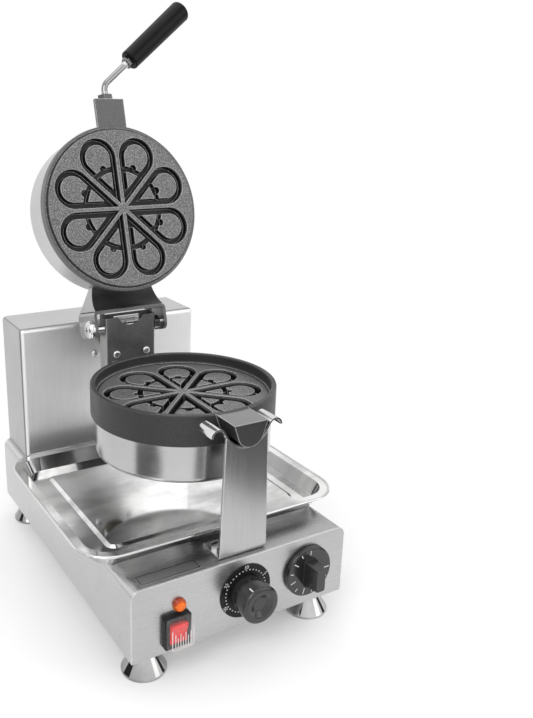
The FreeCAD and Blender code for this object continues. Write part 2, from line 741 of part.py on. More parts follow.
def rear_lug():
    """Block behind the lower pan that bolts against the hinge arm."""
    half = REAR_LUG_WIDTH / 2
    start = PAN_Y + math.sqrt(RING_RADIUS ** 2 - half ** 2) - LUG_ROOT
    block = box(-half, half, start, ARM_FRONT, RING_BOTTOM, FLIP_Z - REAR_LUG_DROP)
    for x, z in pan_bolt_places():
        block = block.cut(rod_y(BOLT_RADIUS + HOLE_FIT, ARM_FRONT - BOLT_TAIL, ARM_FRONT, x, z))
    return block


def pan_bolt_places():
    return [(side * PAN_BOLT_X, FLIP_Z + PAN_BOLT_Z) for side in (-1, 1)]


def lower_plate():
    floor = FLIP_Z - BOWL_DEPTH
    under = floor - LOWER_PLATE
    bore = RING_RADIUS - RING_WALL
    seat = LOWER_SHELL_RADIUS - RING_SEAT
    section = [(0, floor, 0), (bore, floor, BOWL_CORNER), (bore, FLIP_Z, RING_EDGE),
               (RING_RADIUS, FLIP_Z, RING_EDGE), (RING_RADIUS, RING_BOTTOM, RING_EDGE),
               (seat, RING_BOTTOM, 0), (seat, under, 0), (0, under, 0)]
    pan = turned_z(section, 0, PAN_Y).fuse([trunnion(), rear_lug()]).removeSplitter()
    return pan.cut(petal_channels(floor, -1))


def drum(radius, open_z, closed_z):
    """Thin steel drum, open at one end and rounded at its closed end."""
    inside = radius - SHELL_SHEET
    lining_z = closed_z - math.copysign(SHELL_SHEET, closed_z - open_z)
    skin = [(0, closed_z, 0), (radius, closed_z, SHELL_BEND), (radius, open_z, 0), (inside, open_z, 0),
            (inside, lining_z, SHELL_BEND - SHELL_SHEET), (0, lining_z, 0)]
    return turned_z(skin, 0, PAN_Y)


def lower_shell():
    return drum(LOWER_SHELL_RADIUS, RING_BOTTOM, RING_BOTTOM - LOWER_SHELL_HEIGHT)


def heater(seat_z, away):
    """Flat ring element that lies on the back of a plate."""
    inner = HEATER_RADIUS - HEATER_WIDTH / 2
    outer = HEATER_RADIUS + HEATER_WIDTH / 2
    far = seat_z + away * HEATER_HEIGHT
    ring = [(inner, seat_z, 0), (outer, seat_z, 0), (outer, far, 0), (inner, far, 0)]
    return turned_z(ring, 0, PAN_Y)


def lower_heater():
    return heater(FLIP_Z - BOWL_DEPTH - LOWER_PLATE, -1)


# Hinge arm and flip shaft
def stop_line(setback):
    """Height of the open yoke's inner face above the hinge axis, at a distance behind that axis."""
    lean = math.radians(OPEN_ANGLE - 90)
    return (YOKE_INNER - setback * math.sin(lean)) / math.cos(lean)


def hinge_arm():
    """Channel that rises behind the lower pan; an ear on each flange stops the lid when it leans back."""
    half = ARM_WIDTH / 2
    inside = half - ARM_SHEET
    bend = ARM_BEND - ARM_SHEET
    rear = ARM_FRONT + ARM_DEPTH
    top = HINGE_Z + ARM_TOP
    high = top + YOKE_REACH
    outer = [(-half, rear, 0), (-half, ARM_FRONT, ARM_BEND), (half, ARM_FRONT, ARM_BEND), (half, rear, 0)]
    inner = [(-inside, rear, 0), (-inside, ARM_BACK_OF_WEB, bend), (inside, ARM_BACK_OF_WEB, bend),
             (inside, rear, 0)]
    channel = plate_xy(outer, RING_BOTTOM, high).cut(plate_xy(inner, RING_BOTTOM, high))
    ear = rear - STOP_EAR
    ear_top = HINGE_Z + stop_line(ear - HINGE_Y) - STOP_GAP
    rear_top = HINGE_Z + stop_line(rear - HINGE_Y) - STOP_GAP
    side = [(ARM_FRONT, RING_BOTTOM, 0), (rear, RING_BOTTOM, 0), (rear, rear_top, 0), (ear, ear_top, 0),
            (ear, top, 0), (ARM_FRONT, top, 0)]
    channel = channel.common(plate_yz(side, -half, half))
    channel = channel.cut(rod_y(ARM_NOTCH, ARM_FRONT, ARM_BACK_OF_WEB, 0, top + ARM_NOTCH_RISE))
    channel = channel.cut(rod_x(PIN_RADIUS + HOLE_FIT, -half, half, HINGE_Y, HINGE_Z))
    for x, z in arm_screw_places():
        channel = channel.cut(rod_y(SCREW_RADIUS + HOLE_FIT, ARM_FRONT, ARM_BACK_OF_WEB, x, z))
    for x, z in pan_bolt_places():
        channel = channel.cut(rod_y(BOLT_RADIUS + HOLE_FIT, ARM_FRONT, ARM_BACK_OF_WEB, x, z))
    return channel


def arm_screw_places():
    return [(side * ARM_SCREW_X, FLIP_Z + ARM_SCREW_Z) for side in (-1, 1)]


def arm_screws():
    tail = ARM_SHEET + SHAFT_PLATE
    return Part.makeCompound([screw_y(x, ARM_FRONT, z, tail) for x, z in arm_screw_places()])


def pan_bolts():
    bolts = []
    for x, z in pan_bolt_places():
        head = hexagon(BOLT_ACROSS, BOLT_HEAD, V(x, ARM_BACK_OF_WEB, z), Y_AXIS)
        bolts.append(head.fuse(rod_y(BOLT_RADIUS, ARM_FRONT - BOLT_TAIL, ARM_BACK_OF_WEB, x, z)))
    return Part.makeCompound(bolts)


def shaft_plate():
    """Plate inside the arm that joins it to the shaft."""
    back = ARM_BACK_OF_WEB + SHAFT_PLATE
    outline = rectangle(SHAFT_PLATE_WIDTH, SHAFT_PLATE_HEIGHT, 0, FLIP_Z, ARM_BEND)
    plate = plate_xz(outline, ARM_BACK_OF_WEB, back)
    for x, z in arm_screw_places():
        plate = plate.cut(rod_y(SCREW_RADIUS + HOLE_FIT, ARM_BACK_OF_WEB, back, x, z))
    return plate


def flip_shaft():
    """Hollow shaft, so that the heaters' leads can pass into the column."""
    front = ARM_BACK_OF_WEB + SHAFT_PLATE
    rear = BRACKET_REAR + BUSH_FLANGE_THICK + RUN_GAP + SHAFT_END
    return rod_y(SHAFT_RADIUS, front, rear, 0, FLIP_Z).cut(rod_y(SHAFT_BORE, front, rear, 0, FLIP_Z))


def shaft_collar():
    front = BRACKET_REAR + BUSH_FLANGE_THICK + RUN_GAP
    rim = SHAFT_RADIUS + COLLAR_WALL
    ring = rod_y(rim, front, front + COLLAR_WIDTH, 0, FLIP_Z)
    return ring.cut(rod_y(SHAFT_RADIUS, front, front + COLLAR_WIDTH, 0, FLIP_Z))


def hinge_pin():
    """Pin with a domed head outside the left cheek."""
    dome = [(0, 0, 0), (PIN_HEAD_RADIUS, 0, 0), (PIN_HEAD_RADIUS, PIN_HEAD, PIN_HEAD_ROUND), (0, PIN_HEAD, 0)]
    wire = rounded_wire(dome, lambda r, x: V(PIN_HEAD_X - x, HINGE_Y + r, HINGE_Z))
    head = Part.Face(wire).revolve(V(0, HINGE_Y, HINGE_Z), X_AXIS, 360)
    end = YOKE_WIDTH / 2 + PIN_END
    return head.fuse(rod_x(PIN_RADIUS, PIN_HEAD_X, end, HINGE_Y, HINGE_Z)).removeSplitter()


def hinge_nut():
    """Nut that locks the pin to the arm, beside its right flange."""
    nut = hexagon(PIN_NUT_ACROSS, PIN_NUT, V(PIN_NUT_X, HINGE_Y, HINGE_Z), X_AXIS)
    return nut.cut(rod_x(PIN_RADIUS, PIN_NUT_X, PIN_NUT_X + PIN_NUT, HINGE_Y, HINGE_Z))


# Lid, drawn closed and then swung open about the hinge
def swing_open(shape):
    opened = shape.copy()
    opened.rotate(V(0, HINGE_Y, HINGE_Z), X_AXIS, -OPEN_ANGLE)
    return opened


def lid_lug():
    """Half-round lug that lies on the trunnion when the lid is closed; the handle screws into it."""
    front = PAN_Y - LUG_REACH
    back = PAN_Y - math.sqrt(UPPER_FLANGE_RADIUS ** 2 - LUG_RADIUS ** 2) + LUG_ROOT
    left = V(-LUG_RADIUS, front, LID_Z)
    right = V(LUG_RADIUS, front, LID_Z)
    crest = V(0, front, LID_Z + LUG_RADIUS)
    section = Part.Wire([Part.makeLine(left, right), Part.Arc(right, crest, left).toShape()])
    lug = Part.Face(section).extrude(V(0, back - front, 0))
    lug = lug.cut(drum_room(SHELL_CLEAR))
    return lug.cut(rod_y(ROD_RADIUS + HOLE_FIT, front, front + ROD_SEAT, 0, LID_Z + ROD_RISE))


def drum_room(clear):
    """Space that the lid's drum takes, with a clearance round it."""
    low = LID_Z + UPPER_FLANGE
    return rod_z(UPPER_SHELL_RADIUS + clear, low, low + UPPER_SHELL_HEIGHT, 0, PAN_Y)


def upper_plate():
    face = FLIP_Z - PLUG_DEPTH
    back = LID_Z + UPPER_FLANGE
    section = [(0, face, 0), (PLUG_RADIUS, face, RING_EDGE), (PLUG_RADIUS, LID_Z, 0),
               (UPPER_FLANGE_RADIUS, LID_Z, RING_EDGE), (UPPER_FLANGE_RADIUS, back, RING_EDGE),
               (UPPER_BOSS_RADIUS, back, 0), (UPPER_BOSS_RADIUS, back + UPPER_BOSS, 0),
               (0, back + UPPER_BOSS, 0)]
    plate = turned_z(section, 0, PAN_Y).fuse(lid_lug()).removeSplitter()
    return swing_open(plate.cut(petal_channels(face, 1)))


def upper_shell():
    low = LID_Z + UPPER_FLANGE
    return swing_open(drum(UPPER_SHELL_RADIUS, low, low + UPPER_SHELL_HEIGHT))


def upper_heater():
    return swing_open(heater(LID_Z + UPPER_FLANGE + UPPER_BOSS, 1))


def lid_yoke():
    """Bent strip astride the hinge arm: a bridge in front of the arm and a cheek at each end."""
    half = YOKE_WIDTH / 2
    tail = HINGE_Y + YOKE_TAIL
    bridge = HINGE_Y - YOKE_REACH
    inside = half - YOKE_SHEET
    bend = YOKE_BEND - YOKE_SHEET
    outer = [(-half, tail, 0), (-half, bridge, YOKE_BEND), (half, bridge, YOKE_BEND), (half, tail, 0)]
    inner_y = HINGE_Y - YOKE_INNER
    inner = [(-inside, tail, 0), (-inside, inner_y, bend), (inside, inner_y, bend), (inside, tail, 0)]
    low = HINGE_Z - YOKE_FRONT
    high = HINGE_Z + YOKE_REAR
    strip = plate_xy(outer, low, high).cut(plate_xy(inner, low, high))
    side = [(bridge, low, 0), (tail, low, YOKE_TAIL), (tail, high, YOKE_TAIL), (bridge, high, 0)]
    strip = strip.common(plate_yz(side, -half, half))
    return swing_open(strip.cut(rod_x(PIN_RADIUS + PIN_FIT, -half, half, HINGE_Y, HINGE_Z)))


def neck_side(depth):
    """Side view of the neck's curved web, at a depth behind its scooped face."""
    start_y = HINGE_Y - YOKE_REACH
    end_y = HINGE_Y - NECK_REACH
    low = HINGE_Z - YOKE_FRONT + depth
    high = low + NECK_RAMP
    chord = V(0, end_y - start_y, high - low)
    normal = V(0, -chord.z, chord.y).normalize()
    sag = NECK_SCOOP - math.sqrt(NECK_SCOOP ** 2 - (chord.Length / 2) ** 2)
    middle = V(0, (start_y + end_y) / 2, (low + high) / 2) - normal * sag
    return V(0, start_y, low), middle, V(0, end_y, high)


def neck_slab(top):
    """Solid from the neck's scooped face up to its back, over the full width."""
    start, middle, end = neck_side(0)
    back_end = V(0, end.y, end.z + NECK_TIP_DEPTH)
    back_start = V(0, start.y, top)
    edges = [Part.Arc(start, middle, end).toShape(), Part.makeLine(end, back_end),
             Part.makeLine(back_end, back_start), Part.makeLine(back_start, start)]
    slab = Part.Face(Part.Wire(edges)).extrude(V(NECK_WIDTH, 0, 0))
    slab.translate(V(-NECK_WIDTH / 2, 0, 0))
    return slab


def lid_neck():
    """Scooped and tapered bracket from the yoke's bridge to the lid's drum, ribbed at both sides."""
    top = HINGE_Z + YOKE_REAR
    start = HINGE_Y - YOKE_REACH
    end = HINGE_Y - NECK_REACH
    neck = neck_slab(top)
    hollow = neck_slab(top)
    hollow.translate(V(0, 0, NECK_WEB))
    half = NECK_WIDTH / 2
    half_top = NECK_TOP_WIDTH / 2
    inside = half_top - NECK_RIB
    room = box(-inside, inside, end, start, FLIP_Z, top + NECK_WEB)
    neck = neck.cut(hollow.common(room))
    taper = [(-half, start, 0), (half, start, 0), (half_top, end, 0), (-half_top, end, 0)]
    neck = neck.common(plate_xy(taper, FLIP_Z, top + NECK_WEB))
    return swing_open(neck.cut(drum_room(0)))


# Handle
def rod_path():
    """Corner points of the handle rod: seat, end of the straight, end of the bend, end in the grip."""
    z = LID_Z + ROD_RISE
    lug_end = PAN_Y - LUG_REACH
    turn = math.radians(ROD_ANGLE)
    start = V(0, lug_end + ROD_SEAT, z)
    bend_start = V(0, lug_end - LUG_NUT - ROD_OUT, z)
    centre = bend_start + V(ROD_BEND, 0, 0)
    bend_middle = centre + V(-math.cos(turn / 2), -math.sin(turn / 2), 0) * ROD_BEND
    bend_end = centre + V(-math.cos(turn), -math.sin(turn), 0) * ROD_BEND
    along = V(math.sin(turn), -math.cos(turn), 0)
    return start, bend_start, bend_middle, bend_end, along


def handle_rod():
    start, bend_start, bend_middle, bend_end, along = rod_path()
    end = bend_end + along * (ROD_RUN + GRIP_SOCKET)
    bend = Part.Arc(bend_start, bend_middle, bend_end).toShape()
    path = Part.Wire([Part.makeLine(start, bend_start), bend, Part.makeLine(bend_end, end)])
    section = Part.Wire(Part.makeCircle(ROD_RADIUS, start, Y_AXIS))
    return swing_open(path.makePipeShell([section], True, True))


def lug_nut():
    end = PAN_Y - LUG_REACH
    z = LID_Z + ROD_RISE
    nut = hexagon(LUG_NUT_ACROSS, LUG_NUT, V(0, end - LUG_NUT, z), Y_AXIS)
    return swing_open(nut.cut(rod_y(ROD_RADIUS + HOLE_FIT, end - LUG_NUT, end, 0, z)))


def along_grip(shape):
    """Places a shape drawn along +Z from the origin at the grip's near end, along the rod."""
    along = rod_path()[4]
    base = rod_path()[3] + along * ROD_RUN
    shape.Placement = FreeCAD.Placement(base, FreeCAD.Rotation(Z_AXIS, along))
    return swing_open(shape)


def grip_nut():
    nut = hexagon(GRIP_NUT_ACROSS, GRIP_NUT, V(0, 0, -GRIP_NUT), Z_AXIS)
    return along_grip(nut.cut(rod_z(ROD_RADIUS + HOLE_FIT, -GRIP_NUT, 0, 0, 0)))


def handle_grip():
    bore = ROD_RADIUS + HOLE_FIT
    side = [(bore, 0, 0), (GRIP_RADIUS, 0, GRIP_ROUND), (GRIP_TIP_RADIUS, GRIP_LENGTH, GRIP_TIP_ROUND),
            (0, GRIP_LENGTH, 0), (0, GRIP_SOCKET, 0), (bore, GRIP_SOCKET, 0)]
    return along_grip(turned_z(side, 0, 0))


# Drip tray
def tray_outline(inset, corner, z):
    """Rounded rectangle of the tray's plan, inset from its outer edge."""
    half = TRAY_WIDTH / 2 - inset
    front = BASE_FRONT + TRAY_SETBACK + inset
    rear = BASE_FRONT + TRAY_SETBACK + TRAY_DEPTH - inset
    corners = [(-half, front, corner), (half, front, corner), (half, rear, corner), (-half, rear, corner)]
    return rounded_wire(corners, lambda a, b: V(a, b, z))


def tray_wall(low_z, high_z, thick):
    """Sloped block inside the tray's wall, from its foot to its rim."""
    foot = TRAY_RIM + TRAY_SLOPE - thick
    rim = TRAY_RIM - thick
    return Part.makeLoft([tray_outline(rim, TRAY_CORNER - rim, high_z),
                          tray_outline(foot, TRAY_CORNER - foot, low_z)], True, True)


def tray_panel(low_z):
    """Bevelled block of the panel raised in the tray's floor."""
    inset = TRAY_RIM + TRAY_SLOPE + PANEL_INSET
    return Part.makeLoft([tray_outline(inset - PANEL_BEVEL, PANEL_CORNER + PANEL_BEVEL, low_z),
                          tray_outline(inset, PANEL_CORNER, low_z + PANEL_RISE)], True, True)


def drip_tray():
    bottom = BASE_TOP + TRAY_CLEAR
    floor = bottom + TRAY_SHEET
    top = bottom + TRAY_HEIGHT
    rim = Part.Face(tray_outline(0, TRAY_CORNER, top - TRAY_SHEET)).extrude(V(0, 0, TRAY_SHEET))
    tray = rim.fuse(tray_wall(bottom, top, TRAY_SHEET)).cut(tray_wall(floor, top, 0)).removeSplitter()
    return tray.fuse(tray_panel(floor)).cut(tray_panel(bottom))


# Front controls
def lamp_lens():
    rim = BASE_FRONT - LAMP_RIM
    crown = BASE_FRONT - LAMP_DOME
    dome = [(0, BASE_FRONT, 0), (LAMP_RADIUS, BASE_FRONT, 0), (LAMP_RADIUS, rim, LAMP_EDGE),
            (LAMP_DOME_RADIUS, crown, LAMP_DOME_ROUND), (0, crown, 0)]
    return turned_y(dome, LAMP_X, LAMP_Z)


def lamp_body():
    nut_back = PANEL_BACK + LAMP_NUT
    end = BASE_FRONT + LAMP_DEPTH
    barrel = [(0, BASE_FRONT, 0), (LAMP_BARREL, BASE_FRONT, 0), (LAMP_BARREL, PANEL_BACK, 0),
              (LAMP_NUT_RADIUS, PANEL_BACK, 0), (LAMP_NUT_RADIUS, nut_back, 0), (LAMP_BARREL, nut_back, 0),
              (LAMP_BARREL, end, 0), (0, end, 0)]
    return turned_y(barrel, LAMP_X, LAMP_Z)


def rocker_well():
    """Half width and half height of the well that the rocker tips in."""
    return ROCKER_WIDTH / 2 + ROCKER_SIDE_GAP, ROCKER_HEIGHT / 2 + ROCKER_ROOM


def switch_bezel():
    """Switch frame on the panel, with the body that goes through it and the rocker's well."""
    front = BASE_FRONT - SWITCH_FRAME
    back = BASE_FRONT + SWITCH_BODY_DEPTH
    rim = rectangle(SWITCH_WIDTH, SWITCH_HEIGHT, SWITCH_X, SWITCH_Z, SWITCH_CORNER)
    body = rectangle(SWITCH_BODY_WIDTH, SWITCH_BODY_HEIGHT, SWITCH_X, SWITCH_Z, 0)
    frame = plate_xz(rim, front, BASE_FRONT).fuse(plate_xz(body, BASE_FRONT, back))
    half_w, half_h = rocker_well()
    depth = BASE_FRONT + ROCKER_BACK + ROCKER_ROOM
    well = box(SWITCH_X - half_w, SWITCH_X + half_w, front, depth, SWITCH_Z - half_h, SWITCH_Z + half_h)
    reach = half_w + ROCKER_PIN
    pivot = rod_x(ROCKER_PIN_RADIUS + PIN_FIT, SWITCH_X - reach, SWITCH_X + reach, BASE_FRONT, SWITCH_Z)
    return frame.cut(well).cut(pivot)


def rocker():
    """Rocker with a hollowed face and a pivot pin at each side, resting tipped one way."""
    half = ROCKER_HEIGHT / 2
    half_back = ROCKER_BACK_HEIGHT / 2
    face = BASE_FRONT - ROCKER_REACH
    back = BASE_FRONT + ROCKER_BACK
    outline = [(face, SWITCH_Z - half, ROCKER_EDGE), (face + ROCKER_HOLLOW, SWITCH_Z, half),
               (face, SWITCH_Z + half, ROCKER_EDGE), (back, SWITCH_Z + half_back, ROCKER_BACK_ROUND),
               (back, SWITCH_Z - half_back, ROCKER_BACK_ROUND)]
    body = plate_yz(outline, SWITCH_X - ROCKER_WIDTH / 2, SWITCH_X + ROCKER_WIDTH / 2)
    reach = ROCKER_WIDTH / 2 + ROCKER_SIDE_GAP + ROCKER_PIN / 2
    body = body.fuse(rod_x(ROCKER_PIN_RADIUS, SWITCH_X - reach, SWITCH_X + reach, BASE_FRONT, SWITCH_Z))
    body.rotate(V(SWITCH_X, BASE_FRONT, SWITCH_Z), X_AXIS, ROCKER_TILT)
    return body


def switch_cover():
    """Clear splash cover over the rocker, a thin shell that stands on the switch frame."""
    rear = BASE_FRONT - SWITCH_FRAME
    front = rear - COVER_REACH

    def ring(inset, y):
        width = SWITCH_WIDTH - 2 * (COVER_BORDER + inset)
        height = SWITCH_HEIGHT - 2 * (COVER_BORDER + inset)
        corners = rectangle(width, height, SWITCH_X, SWITCH_Z, SWITCH_CORNER - COVER_SHEET)
        return rounded_wire(corners, lambda a, b: V(a, y, b))

    inside = COVER_TAPER + COVER_SHEET
    outer = Part.makeLoft([ring(0, rear), ring(COVER_TAPER, front)], True, True)
    inner = Part.makeLoft([ring(COVER_SHEET, rear), ring(inside, front + COVER_SHEET)], True, True)
    return outer.cut(inner)


def timer_dial():
    face = BASE_FRONT - DIAL_THICK
    disc = rod_y(DIAL_RADIUS, face, BASE_FRONT, TIMER_X, CONTROL_Z)
    return disc.cut(rod_y(NECK_BUSH_RADIUS + HOLE_FIT, face, BASE_FRONT, TIMER_X, CONTROL_Z))


def control_body(x, width, height, depth, neck):
    """Box behind the panel with a neck through it and a blind bore for the spindle."""
    body = plate_xz(rectangle(width, height, x, CONTROL_Z, SHEET), PANEL_BACK, PANEL_BACK + depth)
    body = body.fuse(rod_y(NECK_BUSH_RADIUS, BASE_FRONT - neck, PANEL_BACK, x, CONTROL_Z))
    end = BASE_FRONT + SPINDLE_IN + RUN_GAP
    return body.cut(rod_y(SPINDLE_RADIUS + PIN_FIT, BASE_FRONT - neck, end, x, CONTROL_Z))


def timer_body():
    return control_body(TIMER_X, TIMER_BODY, TIMER_BODY, TIMER_BODY_DEPTH, DIAL_THICK)


def thermostat_body():
    return control_body(THERMOSTAT_X, THERMOSTAT_BODY_WIDTH, THERMOSTAT_BODY_HEIGHT,
                        THERMOSTAT_BODY_DEPTH, 0)


def spindle(x):
    front = BASE_FRONT - DIAL_THICK - KNOB_GAP - SPINDLE_SEAT
    return rod_y(SPINDLE_RADIUS, front, BASE_FRONT + SPINDLE_IN, x, CONTROL_Z)


def spindle_seat(x):
    front = BASE_FRONT - DIAL_THICK - KNOB_GAP - SPINDLE_SEAT
    return rod_y(SPINDLE_RADIUS + HOLE_FIT, front, BASE_FRONT, x, CONTROL_Z)


def timer_knob():
    """Tall turned knob with a rounded rim and a dished front."""
    back = BASE_FRONT - DIAL_THICK - KNOB_GAP
    front = BASE_FRONT - KNOB_REACH
    side = [(0, back, 0), (KNOB_BASE_RADIUS, back, 0), (KNOB_RADIUS, front, KNOB_ROUND),
            (KNOB_DISH_RADIUS, front, KNOB_ROUND), (KNOB_HUB_RADIUS, front + KNOB_DISH, KNOB_DISH_ROUND),
            (0, front + KNOB_DISH, 0)]
    return turned_y(side, TIMER_X, CONTROL_Z).cut(spindle_seat(TIMER_X))


def thermostat_knob():
    """Skirted knob with a tapered bar to grip."""
    back = BASE_FRONT - KNOB_GAP
    face = back - SKIRT_THICK
    front = BASE_FRONT - BAR_REACH
    skirt = [(0, back, 0), (SKIRT_RADIUS, back, 0), (SKIRT_RADIUS, face, SKIRT_EDGE), (0, face, 0)]
    knob = turned_y(skirt, THERMOSTAT_X, CONTROL_Z)

    def bar_ring(width, length, y):
        corners = rectangle(width, length, THERMOSTAT_X, CONTROL_Z, SKIRT_EDGE)
        return rounded_wire(corners, lambda a, b: V(a, y, b))

    root = back - SKIRT_EDGE
    bar = Part.makeLoft([bar_ring(BAR_WIDTH, BAR_LENGTH, root),
                         bar_ring(BAR_FRONT_WIDTH, BAR_FRONT_LENGTH, front)], True, True)
    return knob.fuse(bar).cut(spindle_seat(THERMOSTAT_X))


# Mains parts
def terminal_block():
    rear = BASE_REAR - TERMINAL_FROM_REAR
    low = BASE_BOTTOM + SHEET
    half = TERMINAL_WIDTH / 2
    return box(GLAND_X - half, GLAND_X + half, rear - TERMINAL_DEPTH, rear, low, low + TERMINAL_HEIGHT)


def cord_gland():
    """Cable gland on the rear panel, closed by its own seal."""
    end = BASE_REAR + GLAND_REACH
    body = hexagon(GLAND_ACROSS, GLAND_HEX, V(GLAND_X, BASE_REAR, GLAND_Z), Y_AXIS)
    cap = [(0, BASE_REAR + GLAND_HEX, 0), (GLAND_CAP_RADIUS, BASE_REAR + GLAND_HEX, 0),
           (GLAND_CAP_RADIUS, end, GLAND_HEX), (GLAND_SEAL_RADIUS, end, 0),
           (GLAND_SEAL_RADIUS, end - GLAND_SEAL_DEPTH, 0), (0, end - GLAND_SEAL_DEPTH, 0)]
    body = body.fuse(turned_y(cap, GLAND_X, GLAND_Z))
    return body.fuse(rod_y(GLAND_RADIUS, BASE_REAR - SHEET - GLAND_TAIL, BASE_REAR, GLAND_X, GLAND_Z))


def gland_nut():
    inside = BASE_REAR - SHEET
    nut = hexagon(GLAND_ACROSS, GLAND_NUT, V(GLAND_X, inside - GLAND_NUT, GLAND_Z), Y_AXIS)
    return nut.cut(rod_y(GLAND_RADIUS + HOLE_FIT, inside - GLAND_NUT, inside, GLAND_X, GLAND_Z))


def all_nodes():
    nodes = {
        "base_housing": base_housing(), "front_panel": front_panel(), "rear_panel": rear_panel(),
        "bottom_plate": bottom_plate(), "foot_nuts": foot_nuts(),
        "column_cover": column_cover(), "column_back": column_back(), "bearing_bracket": bearing_bracket(),
        "front_bush": front_bush(), "rear_bush": rear_bush(), "bearing_screws": bearing_screws(),
        "front_post": front_post(), "saddle": saddle(), "post_bolts": post_bolts(),
        "lower_plate": lower_plate(), "lower_shell": lower_shell(), "lower_heater": lower_heater(),
        "hinge_arm": hinge_arm(), "arm_screws": arm_screws(), "pan_bolts": pan_bolts(),
        "shaft_plate": shaft_plate(), "flip_shaft": flip_shaft(), "shaft_collar": shaft_collar(),
        "hinge_pin": hinge_pin(), "hinge_nut": hinge_nut(),
        "upper_plate": upper_plate(), "upper_shell": upper_shell(), "upper_heater": upper_heater(),
        "lid_yoke": lid_yoke(), "lid_neck": lid_neck(),
        "handle_rod": handle_rod(), "lug_nut": lug_nut(), "grip_nut": grip_nut(),
        "handle_grip": handle_grip(),
        "drip_tray": drip_tray(),
        "lamp_lens": lamp_lens(), "lamp_body": lamp_body(),
        "switch_bezel": switch_bezel(), "rocker": rocker(), "switch_cover": switch_cover(),
        "timer_dial": timer_dial(), "timer_body": timer_body(), "timer_spindle": spindle(TIMER_X),
        "timer_knob": timer_knob(),
        "thermostat_body": thermostat_body(), "thermostat_spindle": spindle(THERMOSTAT_X),
        "thermostat_knob": thermostat_knob(),
        "terminal_block": terminal_block(), "cord_gland": cord_gland(), "gland_nut": gland_nut(),
    }
    for name, (x, y) in foot_places().items():
        nodes["foot_" + name] = foot(x, y)
    return nodes


os.makedirs("parts", exist_ok=True)
for node, shape in all_nodes().items():
    shape.exportStep("parts/" + node + ".step")
    print(node, len(shape.Solids), shape.isValid(), round(shape.Volume, 1))
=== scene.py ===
import json
from math import cos, pi, radians, sin

import bpy
from mathutils import Matrix, Vector

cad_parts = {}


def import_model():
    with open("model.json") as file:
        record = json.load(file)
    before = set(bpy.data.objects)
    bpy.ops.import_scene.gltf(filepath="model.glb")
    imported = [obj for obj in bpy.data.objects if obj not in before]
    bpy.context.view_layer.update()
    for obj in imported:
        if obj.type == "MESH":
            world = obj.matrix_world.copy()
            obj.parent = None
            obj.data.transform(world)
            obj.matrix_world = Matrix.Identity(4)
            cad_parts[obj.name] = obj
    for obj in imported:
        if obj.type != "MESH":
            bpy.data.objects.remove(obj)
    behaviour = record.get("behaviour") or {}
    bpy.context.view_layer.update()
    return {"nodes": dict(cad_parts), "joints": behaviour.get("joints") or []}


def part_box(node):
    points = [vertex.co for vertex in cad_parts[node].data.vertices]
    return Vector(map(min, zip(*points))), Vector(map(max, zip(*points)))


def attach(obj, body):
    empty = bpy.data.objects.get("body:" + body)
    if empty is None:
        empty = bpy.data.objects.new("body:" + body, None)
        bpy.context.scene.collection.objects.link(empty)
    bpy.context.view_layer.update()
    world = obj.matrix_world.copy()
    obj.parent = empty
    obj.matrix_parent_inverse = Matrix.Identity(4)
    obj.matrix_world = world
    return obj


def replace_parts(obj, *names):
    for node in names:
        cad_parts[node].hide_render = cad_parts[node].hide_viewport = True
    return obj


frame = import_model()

MM = 0.001
X, Y, Z = Vector((1, 0, 0)), Vector((0, 1, 0)), Vector((0, 0, 1))
SIDES = (-1, 1)
nodes = frame["nodes"]
joints = {j["name"]: j for j in frame["joints"]}

# Camera of the photograph
CAMERA_AT = (-0.38369, -0.73677, 0.53462)
CAMERA_RIGHT = (0.8663, -0.4993, 0.0156)
CAMERA_UP = (0.1372, 0.2679, 0.9536)
CAMERA_AHEAD = (0.4803, 0.8240, -0.3005)
LENS = 39.127
SENSOR = 36.0
SHIFT = (0.0996, -0.0164)
NEAREST = 0.01

# Lid as it stands at rest
LID_OPEN = radians(joints["lid_hinge"]["range_deg"][1])
LID_TURN = Matrix.Rotation(-LID_OPEN, 3, "X")

# Mould plates
PLATE_CENTRE = Vector(joints["pan_flip"]["pos_m"])
BOWL_DEPTH = 12 * MM
PLUG_DEPTH = 3 * MM
PLUG_RADIUS = 89 * MM
PLUG_FADE = 1 * MM
CHANNEL_FROM, CHANNEL_TO = 1.8 * MM, 4.0 * MM
SEAM = 90.6 * MM
SEAM_RISE, SEAM_FLAT, SEAM_END = 0.7 * MM, 0.9 * MM, 1.6 * MM
RING_BORE = 92.8 * MM
RIM_FADE = 0.4 * MM
STUB_FROM, STUB_TO = 100.5 * MM, 102 * MM

# Tones that several finishes share
# painted highlight: the bright tone of edges and bends, partly edge wear on polished steel
EDGE_WEAR_AND_HIGHLIGHT = 0.95
DARK_STEEL = 0.1
# painted reflection: the dark tone that stands in for dark things seen in mirror steel
DARK_REFLECTION_TONE = 0.2
NOISE_LOW, NOISE_HIGH = 0.3, 0.7

# Timer dial and knob
DIAL_DOTS = 36
DOT_RING = 23.4 * MM
DOT_RADIUS = 0.82 * MM
DOT_PROFILE = [(DOT_RADIUS, 0), (DOT_RADIUS * 0.9, 0.07 * MM), (DOT_RADIUS * 0.4, 0.12 * MM)]
DOT_SIDES = 10
NUMBER_RING = 26.7 * MM
NUMBER_SIZE = 5.4 * MM
TIMER_MINUTES = (30, 5, 10, 15, 20, 25)
PRINT_LIFT = 0.07 * MM
PRINT_THICK = 0.06 * MM
INDEX_ANGLE = radians(-28)
INDEX_BACK = 6 * MM
INDEX_SUNK = 0.1 * MM
INDEX_HALF = (0.6 * MM, 3 * MM, 0.25 * MM)

